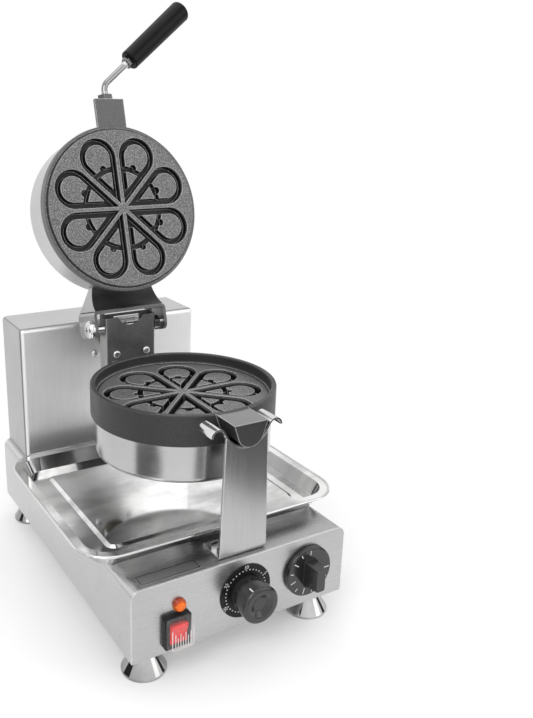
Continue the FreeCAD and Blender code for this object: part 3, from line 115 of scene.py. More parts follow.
# Thermostat knob
SKIRT_FACE = 5.8 * MM
TICK_STEP = radians(-27)
TICK_HALVES = [0.8 * MM] + [1.9 * MM, 3.2 * MM] * 5
TICK_RIM = 25 * MM
TICK_LIFT = 0.05 * MM
TICK_WIDE, TICK_THICK = 0.5 * MM, 0.08 * MM
ZERO_RING = 21.4 * MM
ZERO_SIZE = 4.6 * MM
BAR_ROOT, BAR_FRONT = 8 * MM, 5.3 * MM
BAR_RIBS = 7
BAR_RIB_STEP = 3 * MM
BAR_RIB_WIDE, BAR_RIB_THICK = 0.5 * MM, 0.55 * MM
BAR_RIB_AT, BAR_RIB_SHARE = 0.45, 0.36

# Screws and threads
SCREW_HEAD_RADIUS = 4.6 * MM
PAN_HEAD = [(3.6 * MM, 0), (3.5 * MM, 0.9 * MM), (2.8 * MM, 1.6 * MM), (1.4 * MM, 1.95 * MM)]
PANEL_INSET = 11 * MM
BOTTOM_INSET = 3 * PANEL_INSET
ARM_SLOT, BEARING_SLOT, PIN_SLOT, PANEL_SLOT = 1.9 * MM, 2.1 * MM, 4.2 * MM, 1.9 * MM
SLOT_LEAN = Vector((0.3, 0.25, 1))
SLOT_NARROW = 0.13
SLOT_THICK = 0.12 * MM
HANDLE_ANGLE = radians(51)
THREAD_RADIUS = 3.6 * MM
THREAD_TURNS = 4
THREAD_PITCH = 1.1 * MM
THREAD_HEIGHT = 0.5 * MM
THREAD_PEAK = 0.4
THREAD_SIDES = 32

# Lamp lens, as radius and height in millimetres
LENS_RIM = [(6.9, 0), (6.9, 0.9), (6.6, 1.3), (6.1, 1.4), (6.1, 3.6)]
LENS_DOME = [(5.6, 4.5), (4.4, 5.1), (2.4, 5.5), (0.5, 5.6)]
LENS_SIDES = 40
LENS_MIDDLE, LENS_EDGE = 4 * MM, 6.6 * MM
LENS_RINGS = 5200

# Blank plate on the base
NAME_PLATE_AT = (-80 * MM, -172 * MM)
NAME_PLATE_HALF = (32 * MM, 7.6 * MM, 0.3 * MM)

# Stage
FLOOR_HALF = 30.0
FLOOR_FADE = (0.4, 1.2)
CARD_LIFT = 2 * MM


def grey(value, warm=0.0):
    """A grey, or one that leans to red."""
    return (value * (1 + warm), value, value * (1 - warm))


def scaled(colour, factor, lift=0.0):
    """A colour made darker or lighter."""
    return tuple(min(1.0, c * factor + lift) for c in colour)


def rgba(value):
    """A colour with its alpha; anything else as it is."""
    return (*value, 1) if isinstance(value, tuple) and len(value) == 3 else value


class Finish:
    """One procedural material: a principled shader and the nodes that feed it."""

    def __init__(self, name, **sockets):
        self.material = bpy.data.materials.new(name)
        self.material.use_nodes = True
        self.tree = self.material.node_tree
        self.shader = self.tree.nodes["Principled BSDF"]
        self.place = self.add("ShaderNodeTexCoord").outputs["Object"]
        for socket, value in sockets.items():
            self.set(socket.replace("_", " "), value)

    def feed(self, socket, value):
        if isinstance(value, bpy.types.NodeSocket):
            self.tree.links.new(value, socket)
        else:
            socket.default_value = value

    def set(self, name, value):
        names = {s.name.lower(): s for s in self.shader.inputs}
        self.feed(names[name.lower()], rgba(value))

    def add(self, kind, inputs=(), **settings):
        node = self.tree.nodes.new(kind)
        for key, value in settings.items():
            setattr(node, key, value)
        for key, value in dict(inputs).items():
            self.feed(node.inputs[key], value)
        return node

    def noise(self, scale, stretch=(1, 1, 1), detail=3.0, rough=0.55):
        grid = self.add("ShaderNodeMapping", {"Vector": self.place, "Scale": stretch})
        made = self.add(
            "ShaderNodeTexNoise",
            {"Vector": grid.outputs[0], "Scale": scale, "Detail": detail, "Roughness": rough},
        )
        return made.outputs[0]

    def span(self, value, low, high, to_low=0.0, to_high=1.0):
        made = self.add("ShaderNodeMapRange", {0: value, 1: low, 2: high, 3: to_low, 4: to_high})
        return made.outputs[0]

    def spread(self, noise, to_low=0.0, to_high=1.0):
        """A noise, spread from its usual span over another."""
        return self.span(noise, NOISE_LOW, NOISE_HIGH, to_low, to_high)

    def calc(self, kind, *values):
        return self.add("ShaderNodeMath", dict(enumerate(values)), operation=kind).outputs[0]

    def vector(self, kind, *values):
        made = self.add("ShaderNodeVectorMath", dict(enumerate(values)), operation=kind)
        return made.outputs[1] if kind in ("DOT_PRODUCT", "LENGTH") else made.outputs[0]

    def around(self, centre, axis):
        """Distance of the surface point along an axis, and its distance from that axis."""
        away = self.vector("SUBTRACT", self.place, centre)
        along = self.vector("DOT_PRODUCT", away, axis)
        onto = self.add("ShaderNodeVectorMath", {0: axis, 3: along}, operation="SCALE").outputs[0]
        return along, self.vector("LENGTH", self.vector("SUBTRACT", away, onto))

    def facing(self, direction):
        """How far the true surface points along a direction of the piece, without sign."""
        normal = self.add("ShaderNodeNewGeometry").outputs["True Normal"]
        kind = {"vector_type": "NORMAL", "convert_from": "WORLD", "convert_to": "OBJECT"}
        own = self.add("ShaderNodeVectorTransform", {0: normal}, **kind).outputs[0]
        return self.calc("ABSOLUTE", self.vector("DOT_PRODUCT", own, direction))

    def mix(self, factor, a, b):
        inputs = {0: factor, 6: rgba(a), 7: rgba(b)}
        return self.add("ShaderNodeMix", inputs, data_type="RGBA").outputs[2]

    def mottled(self, mask, tone, low, high):
        """A grey between two shares of a tone, by a mask."""
        return self.mix(mask, grey(tone * low), grey(tone * high))

    def rounded(self, radius):
        """Softened normal of the edges, and where the edges are."""
        soft = self.add("ShaderNodeBevel", {"Radius": radius}, samples=4).outputs[0]
        true = self.add("ShaderNodeNewGeometry").outputs["Normal"]
        return soft, self.span(self.vector("DOT_PRODUCT", soft, true), 0.99, 0.75)

    def bump(self, height, strength, depth, normal=None):
        inputs = {"Height": height, "Strength": strength, "Distance": depth}
        if normal is not None:
            inputs["Normal"] = normal
        self.set("normal", self.add("ShaderNodeBump", inputs).outputs[0])


def brushed(name, stretch, painted_face_tones, low=0.26, high=0.31, fold_highlight=0.45, painted_fold_lines=0.0):
    """Stainless sheet with fine lines along one way, faint clouds, and bright edges and bends painted in as
    highlights.

    The tone of its sides, of its front and of its top is painted light and shade: each face is made lighter
    or darker for how the light falls on it.
    With painted fold lines, each fold gets a dark painted shade line and a bright painted highlight line
    instead."""
    f = Finish(name, metallic=1.0)
    lines = f.noise(60, stretch, rough=0.6)
    cloud = f.noise(9)
    soft, edge = f.rounded(1.5 * MM)
    x, y, z = (f.facing(way) for way in (X, Y, Z))
    # painted light and shade: sides, front and top each get their own tone
    tint = f.mix(f.span(y, 0.3, 0.9), grey(painted_face_tones[0]), grey(painted_face_tones[1]))
    tint = f.mix(f.span(z, 0.3, 0.9), tint, grey(painted_face_tones[2]))
    tint = f.mix(f.span(cloud, 0.35, 0.7, 0.0, 0.12), tint, grey(DARK_STEEL))
    tint = f.mix(f.span(lines, 0.4, 0.7, 0.0, 0.06), tint, grey(DARK_STEEL))
    if painted_fold_lines:
        lean = f.calc("SUBTRACT", f.calc("MAXIMUM", x, z), y)
        # painted highlight: a bright line on one side of each fold
        edge = f.calc("MULTIPLY", f.span(lean, 0.1, -0.05), f.span(lean, -0.7, -0.5, 0.0, 0.6))
        # painted shade: a dark line on the other side of each fold
        fold_shade = f.calc("MULTIPLY", f.span(lean, 0.1, 0.25), f.span(lean, 0.85, 0.7, 0.0, painted_fold_lines))
        tint = f.mix(fold_shade, tint, grey(DARK_STEEL))
    else:
        fold = f.calc("MAXIMUM", f.calc("MULTIPLY", x, y), f.calc("MULTIPLY", f.calc("MAXIMUM", x, y), z))
        # painted highlight: bright bands where the sheet bends
        edge = f.calc("MAXIMUM", edge, f.span(fold, 0.4, 0.49, 0.0, fold_highlight))
    # edges and bends painted bright: painted highlight
    f.set("base color", f.mix(f.calc("MULTIPLY", edge, 0.85), tint, grey(EDGE_WEAR_AND_HIGHLIGHT)))
    f.set("roughness", f.spread(lines, low, high))
    f.bump(lines, 0.006, 0.02 * MM, soft)
    return f


def polished(name, tone=0.74, low=0.06, high=0.14, worn=0.6, dark_reflection=0.0):
    """Bright steel with faint scratches, smears, and edges painted brighter: partly edge wear, partly
    painted highlight.

    One with a dark reflection share has dark patches, and is darker where it faces the sides: painted dark
    reflections."""
    f = Finish(name, metallic=1.0)
    scratch = f.noise(60, (1, 14, 14), 5.0, 0.75)
    smear = f.noise(24)
    soft, edge = f.rounded(0.5 * MM)
    tint = f.mix(f.span(smear, 0.35, 0.7), grey(tone), grey(tone * 0.88, 0.01))
    if dark_reflection:
        # painted reflection: dark patches, and darker sides, stand in for dark things seen in the metal
        reflection_patch = f.noise(9, (1, 2, 1), 4.0)
        tint = f.mix(f.span(reflection_patch, 0.42, 0.64, 0.0, dark_reflection), tint, grey(DARK_REFLECTION_TONE))
        tint = f.mix(f.span(f.facing(X), 0.4, 0.8, 0.0, dark_reflection), tint, grey(DARK_REFLECTION_TONE))
    haze = f.calc("ADD", f.calc("MULTIPLY", smear, 0.6), f.calc("MULTIPLY", scratch, 0.4))
    # edges painted bright: partly edge wear, partly painted highlight
    f.set("base color", f.mix(f.calc("MULTIPLY", edge, worn), tint, grey(EDGE_WEAR_AND_HIGHLIGHT)))
    f.set("roughness", f.spread(haze, low, high))
    f.bump(scratch, 0.05, 0.03 * MM, soft)
    return f


def cast(name, face_at, into, tone, rim_tone, stub_top_lit_tone):
    """Coated cast plate: speckled face; channels near-black with depth, partly painted shade; edges painted
    bright as highlights; a rim of its own tone; upward faces out past the rim painted in a tone of their
    own for the light on them; a painted shadow line in the gap between plug and flange.
    """
    f = Finish(name, metallic=0.15, specular_ior_level=0.4)
    speck = f.noise(950, detail=2.0, rough=0.7)
    cloud = f.noise(35, detail=4.0)
    depth, radius = f.around(face_at, into)
    soft, edge = f.rounded(1.4 * MM)
    face = f.mottled(f.spread(cloud), tone, 0.84, 1.1)
    face = f.mix(f.span(speck, 0.52, 0.68), face, grey(tone * 2.8))
    face = f.mix(f.span(speck, 0.47, 0.32), face, grey(tone * 0.2))
    # painted shade: the channels go near-black with depth, partly the coating's own darker colour
    inside = f.span(radius, PLUG_RADIUS, PLUG_RADIUS - PLUG_FADE)
    channel = f.calc("MULTIPLY", inside, f.span(depth, CHANNEL_FROM, CHANNEL_TO))
    face = f.mix(channel, face, grey(0.01))
    rim = f.mottled(f.span(speck, 0.4, 0.7), rim_tone, 0.8, 1.35)
    face = f.mix(f.span(radius, RING_BORE, RING_BORE + RIM_FADE), face, rim)
    # painted light: upward faces out past the rim get a tone of their own for how the light falls, lighter
    # on the lower plate
    lit_stub_top = f.calc("MULTIPLY", f.span(radius, STUB_FROM, STUB_TO), f.span(f.facing(Z), 0.9, 0.97))
    face = f.mix(lit_stub_top, face, grey(stub_top_lit_tone))
    # painted shadow: a dark line in the gap between plug and flange
    inner = f.span(radius, SEAM - SEAM_RISE, SEAM)
    seam_shadow = f.calc("MULTIPLY", inner, f.span(radius, SEAM + SEAM_END, SEAM + SEAM_FLAT))
    # painted highlight: edges made nearly white
    face = f.mix(edge, face, grey(0.9))
    f.set("base color", f.mix(seam_shadow, face, grey(0.012)))
    f.set("roughness", f.spread(cloud, 0.36, 0.5))
    f.bump(speck, 0.25, 0.1 * MM, soft)
    return f


def painted(name, tone, shine=0.4):
    """Satin dark paint on the web, with bare steel on the sides and along worn edges."""
    f = Finish(name, specular_ior_level=shine)
    peel = f.noise(800)
    cloud = f.noise(30, detail=4.0)
    soft, edge = f.rounded(0.7 * MM)
    coat = f.mottled(f.spread(cloud), tone, 0.75, 1.4)
    coat = f.mix(f.span(peel, 0.58, 0.75, 0.0, 0.6), coat, grey(tone * 3))
    bare = f.span(f.facing(X), 0.55, 0.75)
    worn = f.calc("MULTIPLY", edge, f.span(cloud, 0.35, 0.6, 0.3, 0.8))
    metal = f.calc("MAXIMUM", bare, worn)
    f.set("base color", f.mix(metal, coat, grey(0.42)))
    f.set("metallic", metal)
    f.set("roughness", f.spread(cloud, 0.28, 0.4))
    f.bump(peel, 0.15, 0.05 * MM, soft)
    return f


def plastic(name, colour, low=0.3, high=0.45, shine=0.2, grain=900, worn=2.2):
    """Moulded plastic with a fine grain, rubbed edges and a little unevenness in the tone."""
    f = Finish(name, specular_ior_level=shine)
    skin = f.noise(grain, detail=2.0)
    cloud = f.noise(45, detail=4.0)
    soft, edge = f.rounded(0.5 * MM)
    tint = f.mix(f.spread(cloud), scaled(colour, 0.8), scaled(colour, 1.2, 0.001))
    rubbed = scaled(colour, worn, 0.02)
    f.set("base color", f.mix(f.calc("MULTIPLY", edge, 0.5), tint, rubbed))
    f.set("roughness", f.spread(cloud, low, high))
    f.bump(skin, 0.10, 0.04 * MM, soft)
    return f


def bronze(name):
    """Sintered bearing bronze with fine pores and an oily sheen."""
    f = Finish(name, metallic=1.0)
    pores = f.noise(2200, detail=2.0)
    cloud = f.noise(50)
    soft, edge = f.rounded(0.4 * MM)
    dark, light, rubbed = (0.11, 0.095, 0.075), (0.16, 0.14, 0.11), (0.4, 0.33, 0.24)
    tint = f.mix(f.spread(cloud), dark, light)
    f.set("base color", f.mix(f.calc("MULTIPLY", edge, 0.6), tint, rubbed))
    f.set("roughness", f.spread(pores, 0.26, 0.42))
    f.bump(pores, 0.2, 0.04 * MM, soft)
    return f


def amber(name, centre):
    """Lamp lens: orange in the middle, deep red at the rim, fine pressed rings, and yellow glints painted
    in as highlights.
    """
    f = Finish(name, specular_ior_level=0.35, coat_weight=0.15, coat_roughness=0.05)
    radius = f.around(centre, Y)[1]
    cloud = f.noise(420)
    orange, deep_red, glint = (0.8, 0.13, 0.004), (0.25, 0.014, 0.003), (1.0, 0.42, 0.04)
    tint = f.mix(f.span(radius, LENS_MIDDLE, LENS_EDGE), orange, deep_red)
    # painted highlight: yellow glints spread by noise
    tint = f.mix(f.span(cloud, 0.52, 0.72, 0.0, 0.7), tint, glint)
    f.set("base color", tint)
    f.set("roughness", f.spread(cloud, 0.12, 0.25))
    f.set("emission color", tint)
    f.set("emission strength", 0.15)
    f.bump(f.calc("SINE", f.calc("MULTIPLY", radius, LENS_RINGS)), 0.3, 0.08 * MM)
    return f


def clear(name, alpha, low, high):
    """Thin clear plastic with faint smears and moulding ripples."""
    f = Finish(name, alpha=alpha, specular_ior_level=0.8)
    smear = f.noise(120)
    f.set("base color", f.mix(f.spread(smear), grey(0.75), grey(0.98)))
    f.set("roughness", f.span(smear, 0.35, 0.7, low, high))
    f.bump(smear, 0.2, 0.12 * MM)
    return f


def dress(finish, *names):
    """Puts a finish on CAD nodes."""
    for name in names:
        mesh = nodes[name].data
        if mesh.materials:
            mesh.materials[0] = finish.material
        else:
            mesh.materials.append(finish.material)


def opened(point):
    """A point of the closed lid, where it is with the lid open."""
    pivot = Vector(joints["lid_hinge"]["pos_m"])
    return pivot + LID_TURN @ (Vector(point) - pivot)


lid_face = opened(PLATE_CENTRE - PLUG_DEPTH * Z)
pan_face = PLATE_CENTRE - BOWL_DEPTH * Z
lens_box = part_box("lamp_lens")

# Each brushed finish paints its sides, front and top in a tone of their own: painted light and shade, with
# the top of the post and the front of the column much lighter.
steel_x = brushed("brushed_along_x", (0.5, 12, 12), (0.58, 0.54, 0.46))
steel_z = brushed("brushed_along_z", (12, 12, 0.4), (0.52, 1.0, 0.58), 0.4, 0.46, painted_fold_lines=0.7)
steel_post = brushed("brushed_post", (12, 12, 0.4), (0.5, 0.52, 0.85), 0.2, 0.25)
drum_low = brushed("brushed_drum", (0.6, 0.6, 24), (0.52, 0.56, 0.5), 0.16, 0.22, fold_highlight=0.0)
drum_up = brushed("brushed_lid_drum", (0.6, 6, 6), (0.58, 0.58, 0.58), fold_highlight=0.0)
bright = polished("polished_steel")
# the mirror tray and the chrome feet get painted dark reflections
mirror = polished("mirror_tray", 0.94, 0.04, 0.12, dark_reflection=0.6)
chrome = polished("foot_chrome", 0.62, 0.03, 0.07, dark_reflection=0.5)
satin = polished("satin_steel", 0.4, 0.14, 0.24, 0.05)
plate_metal = polished("plate_metal", 0.38, 0.3, 0.4, 0.3)
screw_steel = polished("screw_steel", 0.85, 0.3, 0.42)
rod_steel = polished("rod_steel", 0.3, 0.08, 0.18, 0.05)
dark_nut = polished("dark_nut", 0.13, 0.2, 0.3)
pan_cast = cast("cast_lower", pan_face, -Z, 0.13, 0.038, 0.22)
lid_cast = cast("cast_upper", lid_face, LID_TURN @ Z, 0.145, 0.115, 0.11)
paint = painted("dark_paint", 0.08)
neck_paint = painted("neck_paint", 0.024, 0.6)
yoke_paint = painted("yoke_paint", 0.10)
phenolic = plastic("black_phenolic", grey(0.005), 0.14, 0.24, 0.13, 1200)
knob_black = plastic("knob_black", grey(0.016), 0.14, 0.24, 0.7)
dial_black = plastic("dial_black", grey(0.01), 0.28, 0.4, grain=1500)
case_black = plastic("case_black", (0.01, 0.01, 0.011))
print_white = plastic("print_white", (0.85, 0.85, 0.84), 0.4, 0.55, grain=1500, worn=1.0)
recess_black = plastic("recess_black", grey(0.02), 0.5, 0.7)
red = plastic("rocker_red", (0.8, 0.012, 0.01), 0.2, 0.32, 0.3, 700, 1.2)
oilite = bronze("bearing_bronze")
lens = amber("lamp_amber", (lens_box[0] + lens_box[1]) / 2)
cover = clear("clear_cover", 0.055, 0.02, 0.12)
frosted_ribs_and_edge_glints = clear("frosted_rib", 0.62, 0.3, 0.5)

dress(steel_x, "base_housing", "front_panel", "rear_panel", "bottom_plate")
dress(steel_z, "column_cover")
dress(steel_post, "front_post", "column_back", "bearing_bracket", "shaft_plate")
dress(drum_low, "lower_shell")
dress(drum_up, "upper_shell")
dress(pan_cast, "lower_plate")
dress(lid_cast, "upper_plate")
dress(paint, "hinge_arm")
dress(neck_paint, "lid_neck")
dress(yoke_paint, "lid_yoke")
dress(dark_nut, "lug_nut", "hinge_nut", "grip_nut")
dress(rod_steel, "handle_rod")
dress(satin, "foot_nuts", "gland_nut", "shaft_collar", "lower_heater", "upper_heater")
dress(mirror, "drip_tray")
dress(chrome, "foot_front_left", "foot_front_right", "foot_rear_left", "foot_rear_right")
dress(bright, "saddle", "post_bolts", "pan_bolts", "flip_shaft", "hinge_pin")
dress(bright, "timer_spindle", "thermostat_spindle")
dress(screw_steel, "arm_screws", "bearing_screws")
dress(oilite, "front_bush", "rear_bush")
dress(phenolic, "handle_grip")
dress(knob_black, "timer_knob", "thermostat_knob")
dress(dial_black, "timer_dial")
dress(case_black, "switch_bezel", "timer_body", "thermostat_body", "terminal_block", "cord_gland")
dress(case_black, "lamp_body")
dress(red, "rocker")
dress(cover, "switch_cover")


def placed(name, data):
    """A new object in the scene."""
    made = bpy.data.objects.new(name, data)
    bpy.context.scene.collection.objects.link(made)
    return made


class Piece:
    """Collects turned and blocked forms into one mesh that rides on a body."""

    def __init__(self):
        self.verts = []
        self.faces = []

    def block(self, centre, axes, half):
        """Six-sided bar; axes are three directions and half their half sizes."""
        start = len(self.verts)
        steps = [Vector(a).normalized() * h for a, h in zip(axes, half)]
        for c in SIDES:
            for a, b in ((-1, -1), (1, -1), (1, 1), (-1, 1)):
                self.verts.append(Vector(centre) + steps[0] * a + steps[1] * b + steps[2] * c)
        walls = [(i, (i + 1) % 4, (i + 1) % 4 + 4, i + 4) for i in range(4)]
        for face in [(3, 2, 1, 0), (4, 5, 6, 7), *walls]:
            self.faces.append([start + i for i in face])

    def turned(self, at, axis, profile, count=20):
        """Surface of revolution through (radius, height) points, closed at both ends."""
        start = len(self.verts)
        turn = Z.rotation_difference(Vector(axis)).to_matrix()
        for radius, height in profile:
            for i in range(count):
                angle = 2 * pi * i / count
                spot = Vector((radius * cos(angle), radius * sin(angle), height))
                self.verts.append(Vector(at) + turn @ spot)
        for row in range(len(profile) - 1):
            for i in range(count):
                a, b = start + row * count, start + (row + 1) * count
                self.faces.append([a + i, a + (i + 1) % count, b + (i + 1) % count, b + i])
        last = start + (len(profile) - 1) * count
        self.faces.append([start + i for i in reversed(range(count))])
        self.faces.append([last + i for i in range(count)])

    def slab(self, outline, half):
        """Upright plate with an outline in x and z, and half its thickness."""
        start, count = len(self.verts), len(outline)
        for side in SIDES:
            self.verts += [at + side * half * Y for at in outline]
        self.faces.append([start + i for i in range(count)])
        self.faces.append([start + count + i for i in reversed(range(count))])
        for i in range(count):
            j = (i + 1) % count
            self.faces.append([start + i, start + count + i, start + count + j, start + j])

    def loop(self, path, radius, count=10):
        """Round bead along a closed level path."""
        start = len(self.verts)
        for i, at in enumerate(path):
            along = (path[(i + 1) % len(path)] - path[i - 1]).normalized()
            side = along.cross(Z)
            for k in range(count):
                angle = 2 * pi * k / count
                self.verts.append(at + radius * (cos(angle) * side + sin(angle) * Z))
        for i in range(len(path)):
            a, b = start + i * count, start + (i + 1) % len(path) * count
            for k in range(count):
                self.faces.append([a + k, b + k, b + (k + 1) % count, a + (k + 1) % count])

    def done(self, name, finish, body, edge=0.0, smooth=False):
        """Makes the piece, with softened edges where a width is given."""
        mesh = bpy.data.meshes.new(name)
        mesh.from_pydata(self.verts, [], self.faces)
        mesh.materials.append(finish.material)
        mesh.polygons.foreach_set("use_smooth", [smooth] * len(mesh.polygons))
        made = placed(name, mesh)
        if edge:
            softened = made.modifiers.new("edge", "BEVEL")
            softened.width = edge
            softened.segments = 2
        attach(made, body)
        return made


def on_dial(joint, radius, angle, out):
    """A point in front of a dial, by clock angle from the top."""
    centre = Vector(joints[joint]["pos_m"])
    return centre + Vector((radius * sin(angle), -out, radius * cos(angle)))


def dial_ways(angle):
    """The directions across and outward at a clock angle."""
    return Vector((cos(angle), 0, -sin(angle))), Vector((sin(angle), 0, cos(angle)))


def label(name, text, at, angle, size, body):
    """Raised white print that faces the front, turned by a clock angle."""
    data = bpy.data.curves.new(name, "FONT")
    data.body = text
    data.size = size
    data.align_x = "CENTER"
    data.align_y = "CENTER"
    data.extrude = PRINT_THICK
    data.materials.append(print_white.material)
    made = placed(name, data)
    turn = Matrix.Rotation(angle, 4, "Y") @ Matrix.Rotation(pi / 2, 4, "X")
    made.matrix_world = Matrix.Translation(at) @ turn
    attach(made, body)


def timer_marks():
    """Dots and minutes on the timer's dial, and the index line on its knob."""
    face = joints["timer_turn"]["pos_m"][1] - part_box("timer_dial")[0].y
    dots = Piece()
    for i in range(DIAL_DOTS):
        at = on_dial("timer_turn", DOT_RING, 2 * pi * i / DIAL_DOTS, face)
        dots.turned(at, -Y, DOT_PROFILE, DOT_SIDES)
    dots.done("dial_dots", print_white, "base", smooth=True)
    for i, minutes in enumerate(TIMER_MINUTES):
        angle = 2 * pi * i / len(TIMER_MINUTES)
        at = on_dial("timer_turn", NUMBER_RING, angle, face + PRINT_LIFT)
        label(f"dial_number_{minutes}", str(minutes), at, angle, NUMBER_SIZE, "base")
    index = Piece()
    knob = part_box("timer_knob")
    barrel = (knob[1].x - knob[0].x) / 2
    out = joints["timer_turn"]["pos_m"][1] - knob[0].y - INDEX_BACK
    at = on_dial("timer_turn", barrel - INDEX_SUNK, INDEX_ANGLE, out)
    across, outward = dial_ways(INDEX_ANGLE)
    index.block(at, (across, Y, outward), INDEX_HALF)
    index.done("knob_index", print_white, "timer", edge=0.1 * MM)


def thermostat_marks():
    """Ticks and zero on the thermostat's skirt, and ribs on both flanks of its bar."""
    ticks = Piece()
    for i, half in enumerate(TICK_HALVES):
        angle = i * TICK_STEP
        at = on_dial("thermostat_turn", TICK_RIM - half, angle, SKIRT_FACE + TICK_LIFT)
        ticks.block(at, (*dial_ways(angle), Y), (TICK_WIDE, half, TICK_THICK))
    ticks.done("skirt_ticks", print_white, "thermostat", edge=0.05 * MM)
    zero = on_dial("thermostat_turn", ZERO_RING, 0, SKIRT_FACE + PRINT_LIFT)
    label("skirt_zero", "0", zero, 0, ZERO_SIZE, "thermostat")
    ribs = Piece()
    centre = Vector(joints["thermostat_turn"]["pos_m"])
    depth = joints["thermostat_turn"]["pos_m"][1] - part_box("thermostat_knob")[0].y - SKIRT_FACE
    slope = Vector((BAR_FRONT - BAR_ROOT, -depth, 0)).normalized()
    out = SKIRT_FACE + depth * BAR_RIB_AT
    half = (depth * BAR_RIB_SHARE, BAR_RIB_WIDE, BAR_RIB_THICK)
    for side in SIDES:
        way = Vector((side * slope.x, slope.y, 0))
        flank = Vector((-side * slope.y, slope.x, 0))
        for i in range(BAR_RIBS):
            height = (i - BAR_RIBS // 2) * BAR_RIB_STEP
            middle = Vector((side * (BAR_ROOT + BAR_FRONT) / 2, -out, height))
            ribs.block(centre + middle, (way, Z, flank), half)
    ribs.done("bar_ribs", knob_black, "thermostat", edge=0.2 * MM)


def cross_recess(name, places, axis, size, body):
    """Cross slots in the ends of screw heads."""
    slots = Piece()
    lean = SLOT_LEAN.cross(axis).normalized()
    across = axis.cross(lean)
    half = (size, size * SLOT_NARROW, SLOT_THICK)
    for at in places:
        slots.block(at, (lean, across, axis), half)
        slots.block(at, (across, lean, axis), half)
    slots.done(name, recess_black, body, edge=0.04 * MM)


def screw_slots():
    """Slots of the screws on the hinge arm and the column, and of the hinge pin."""
    low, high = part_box("arm_screws")
    x, z = high.x - SCREW_HEAD_RADIUS, (low.z + high.z) / 2
    cross_recess("arm_slots", [(s * x, low.y, z) for s in SIDES], -Y, ARM_SLOT, "lower_pan")
    low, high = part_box("bearing_screws")
    x = high.x - SCREW_HEAD_RADIUS
    heights = (low.z + SCREW_HEAD_RADIUS, high.z - SCREW_HEAD_RADIUS)
    places = [(s * x, low.y, z) for s in SIDES for z in heights]
    cross_recess("bearing_slots", places, -Y, BEARING_SLOT, "base")
    pin = Vector(joints["lid_hinge"]["pos_m"])
    pin.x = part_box("hinge_pin")[0].x
    cross_recess("pin_slot", [pin], -X, PIN_SLOT, "lower_pan")


def arm_stop():
    """Black strip behind the hinge arm, cut out behind its notch, under the yoke's swing: a dark sheet that
    stands in for the shade there, painted shade.
    """
    pin = Vector(joints["lid_hinge"]["pos_m"])
    low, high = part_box("hinge_arm")
    side_room, behind, thick = 2.9 * MM, 6.8 * MM, 1.2 * MM
    half = (high.x - low.x) / 2 - side_room
    foot, bridge, top, inner = 1.5 * MM, 11.6 * MM, 14.5 * MM, 16.6 * MM
    right = [(inner, bridge), (inner, foot), (half, foot), (half, top)]
    left = [(-x, z) for x, z in reversed(right)]
    strip = Piece()
    # painted shade: a black sheet where there is only shade
    strip.slab([pin + Vector((x, behind, z)) for x, z in right + left], thick)
    strip.done("arm_stop", paint, "lower_pan", edge=0.5 * MM)


def panel_screws():
    """Pan-head screws of the rear and bottom panels."""
    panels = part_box("rear_panel"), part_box("column_back")
    rear = max(high.y for low, high in panels)
    heads = Piece()
    tips = []
    for low, high in panels:
        for side in SIDES:
            for z in (low.z + PANEL_INSET, high.z - PANEL_INSET):
                at = Vector((side * (high.x - PANEL_INSET), rear, z))
                heads.turned(at, Y, PAN_HEAD)
                tips.append(at + PAN_HEAD[-1][1] * Y)
    heads.done("rear_screws", bright, "base", smooth=True)
    cross_recess("rear_slots", tips, Y, PANEL_SLOT, "base")
    low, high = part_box("bottom_plate")
    under = Piece()
    for side in SIDES:
        for y in (low.y + PANEL_INSET, high.y - PANEL_INSET):
            under.turned((side * (high.x - BOTTOM_INSET), y, low.z), -Z, PAN_HEAD)
    under.done("bottom_screws", bright, "base", smooth=True)


def thread(name, nut, axis, start):
    """Visible thread of the handle rod beside a nut."""
    low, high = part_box(nut)
    profile = [(THREAD_RADIUS, start)]
    for i in range(THREAD_TURNS):
        profile.append((THREAD_RADIUS + THREAD_HEIGHT, start + (i + THREAD_PEAK) * THREAD_PITCH))
        profile.append((THREAD_RADIUS, start + (i + 1) * THREAD_PITCH))
    rod = Piece()
    rod.turned((low + high) / 2, axis, profile, THREAD_SIDES)
    rod.done(name, bright, "lid")


def name_plate():
    """Blank plate on the base's top, with a dark border."""
    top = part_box("base_housing")[1].z
    centre = Vector((*NAME_PLATE_AT, top))
    long, wide, thick = NAME_PLATE_HALF
    plate = Piece()
    plate.block(centre + thick * Z, (X, Y, Z), NAME_PLATE_HALF)
    plate.done("blank_plate", plate_metal, "base", edge=0.25 * MM)
    inset, ends, line, lift, raised = 0.9 * MM, 0.6 * MM, 0.4 * MM, 0.62 * MM, 0.1 * MM
    border = Piece()
    for side in SIDES:
        along = centre + Vector((0, side * (wide - inset), lift))
        across = centre + Vector((side * (long - inset), 0, lift))
        border.block(along, (X, Y, Z), (long - ends, line, raised))
        border.block(across, (Y, X, Z), (wide - ends, line, raised))
    border.done("plate_border", recess_black, "base", edge=0.05 * MM)


def lamp_dome():
    """Lamp lens with a stepped rim, in place of the plain lens."""
    low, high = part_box("lamp_lens")
    dome = Piece()
    at = ((low.x + high.x) / 2, high.y, (low.z + high.z) / 2)
    dome.turned(at, -Y, [(r * MM, h * MM) for r, h in LENS_RIM + LENS_DOME], LENS_SIDES)
    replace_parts(dome.done("lamp_dome", lens, "base", smooth=True), "lamp_lens")


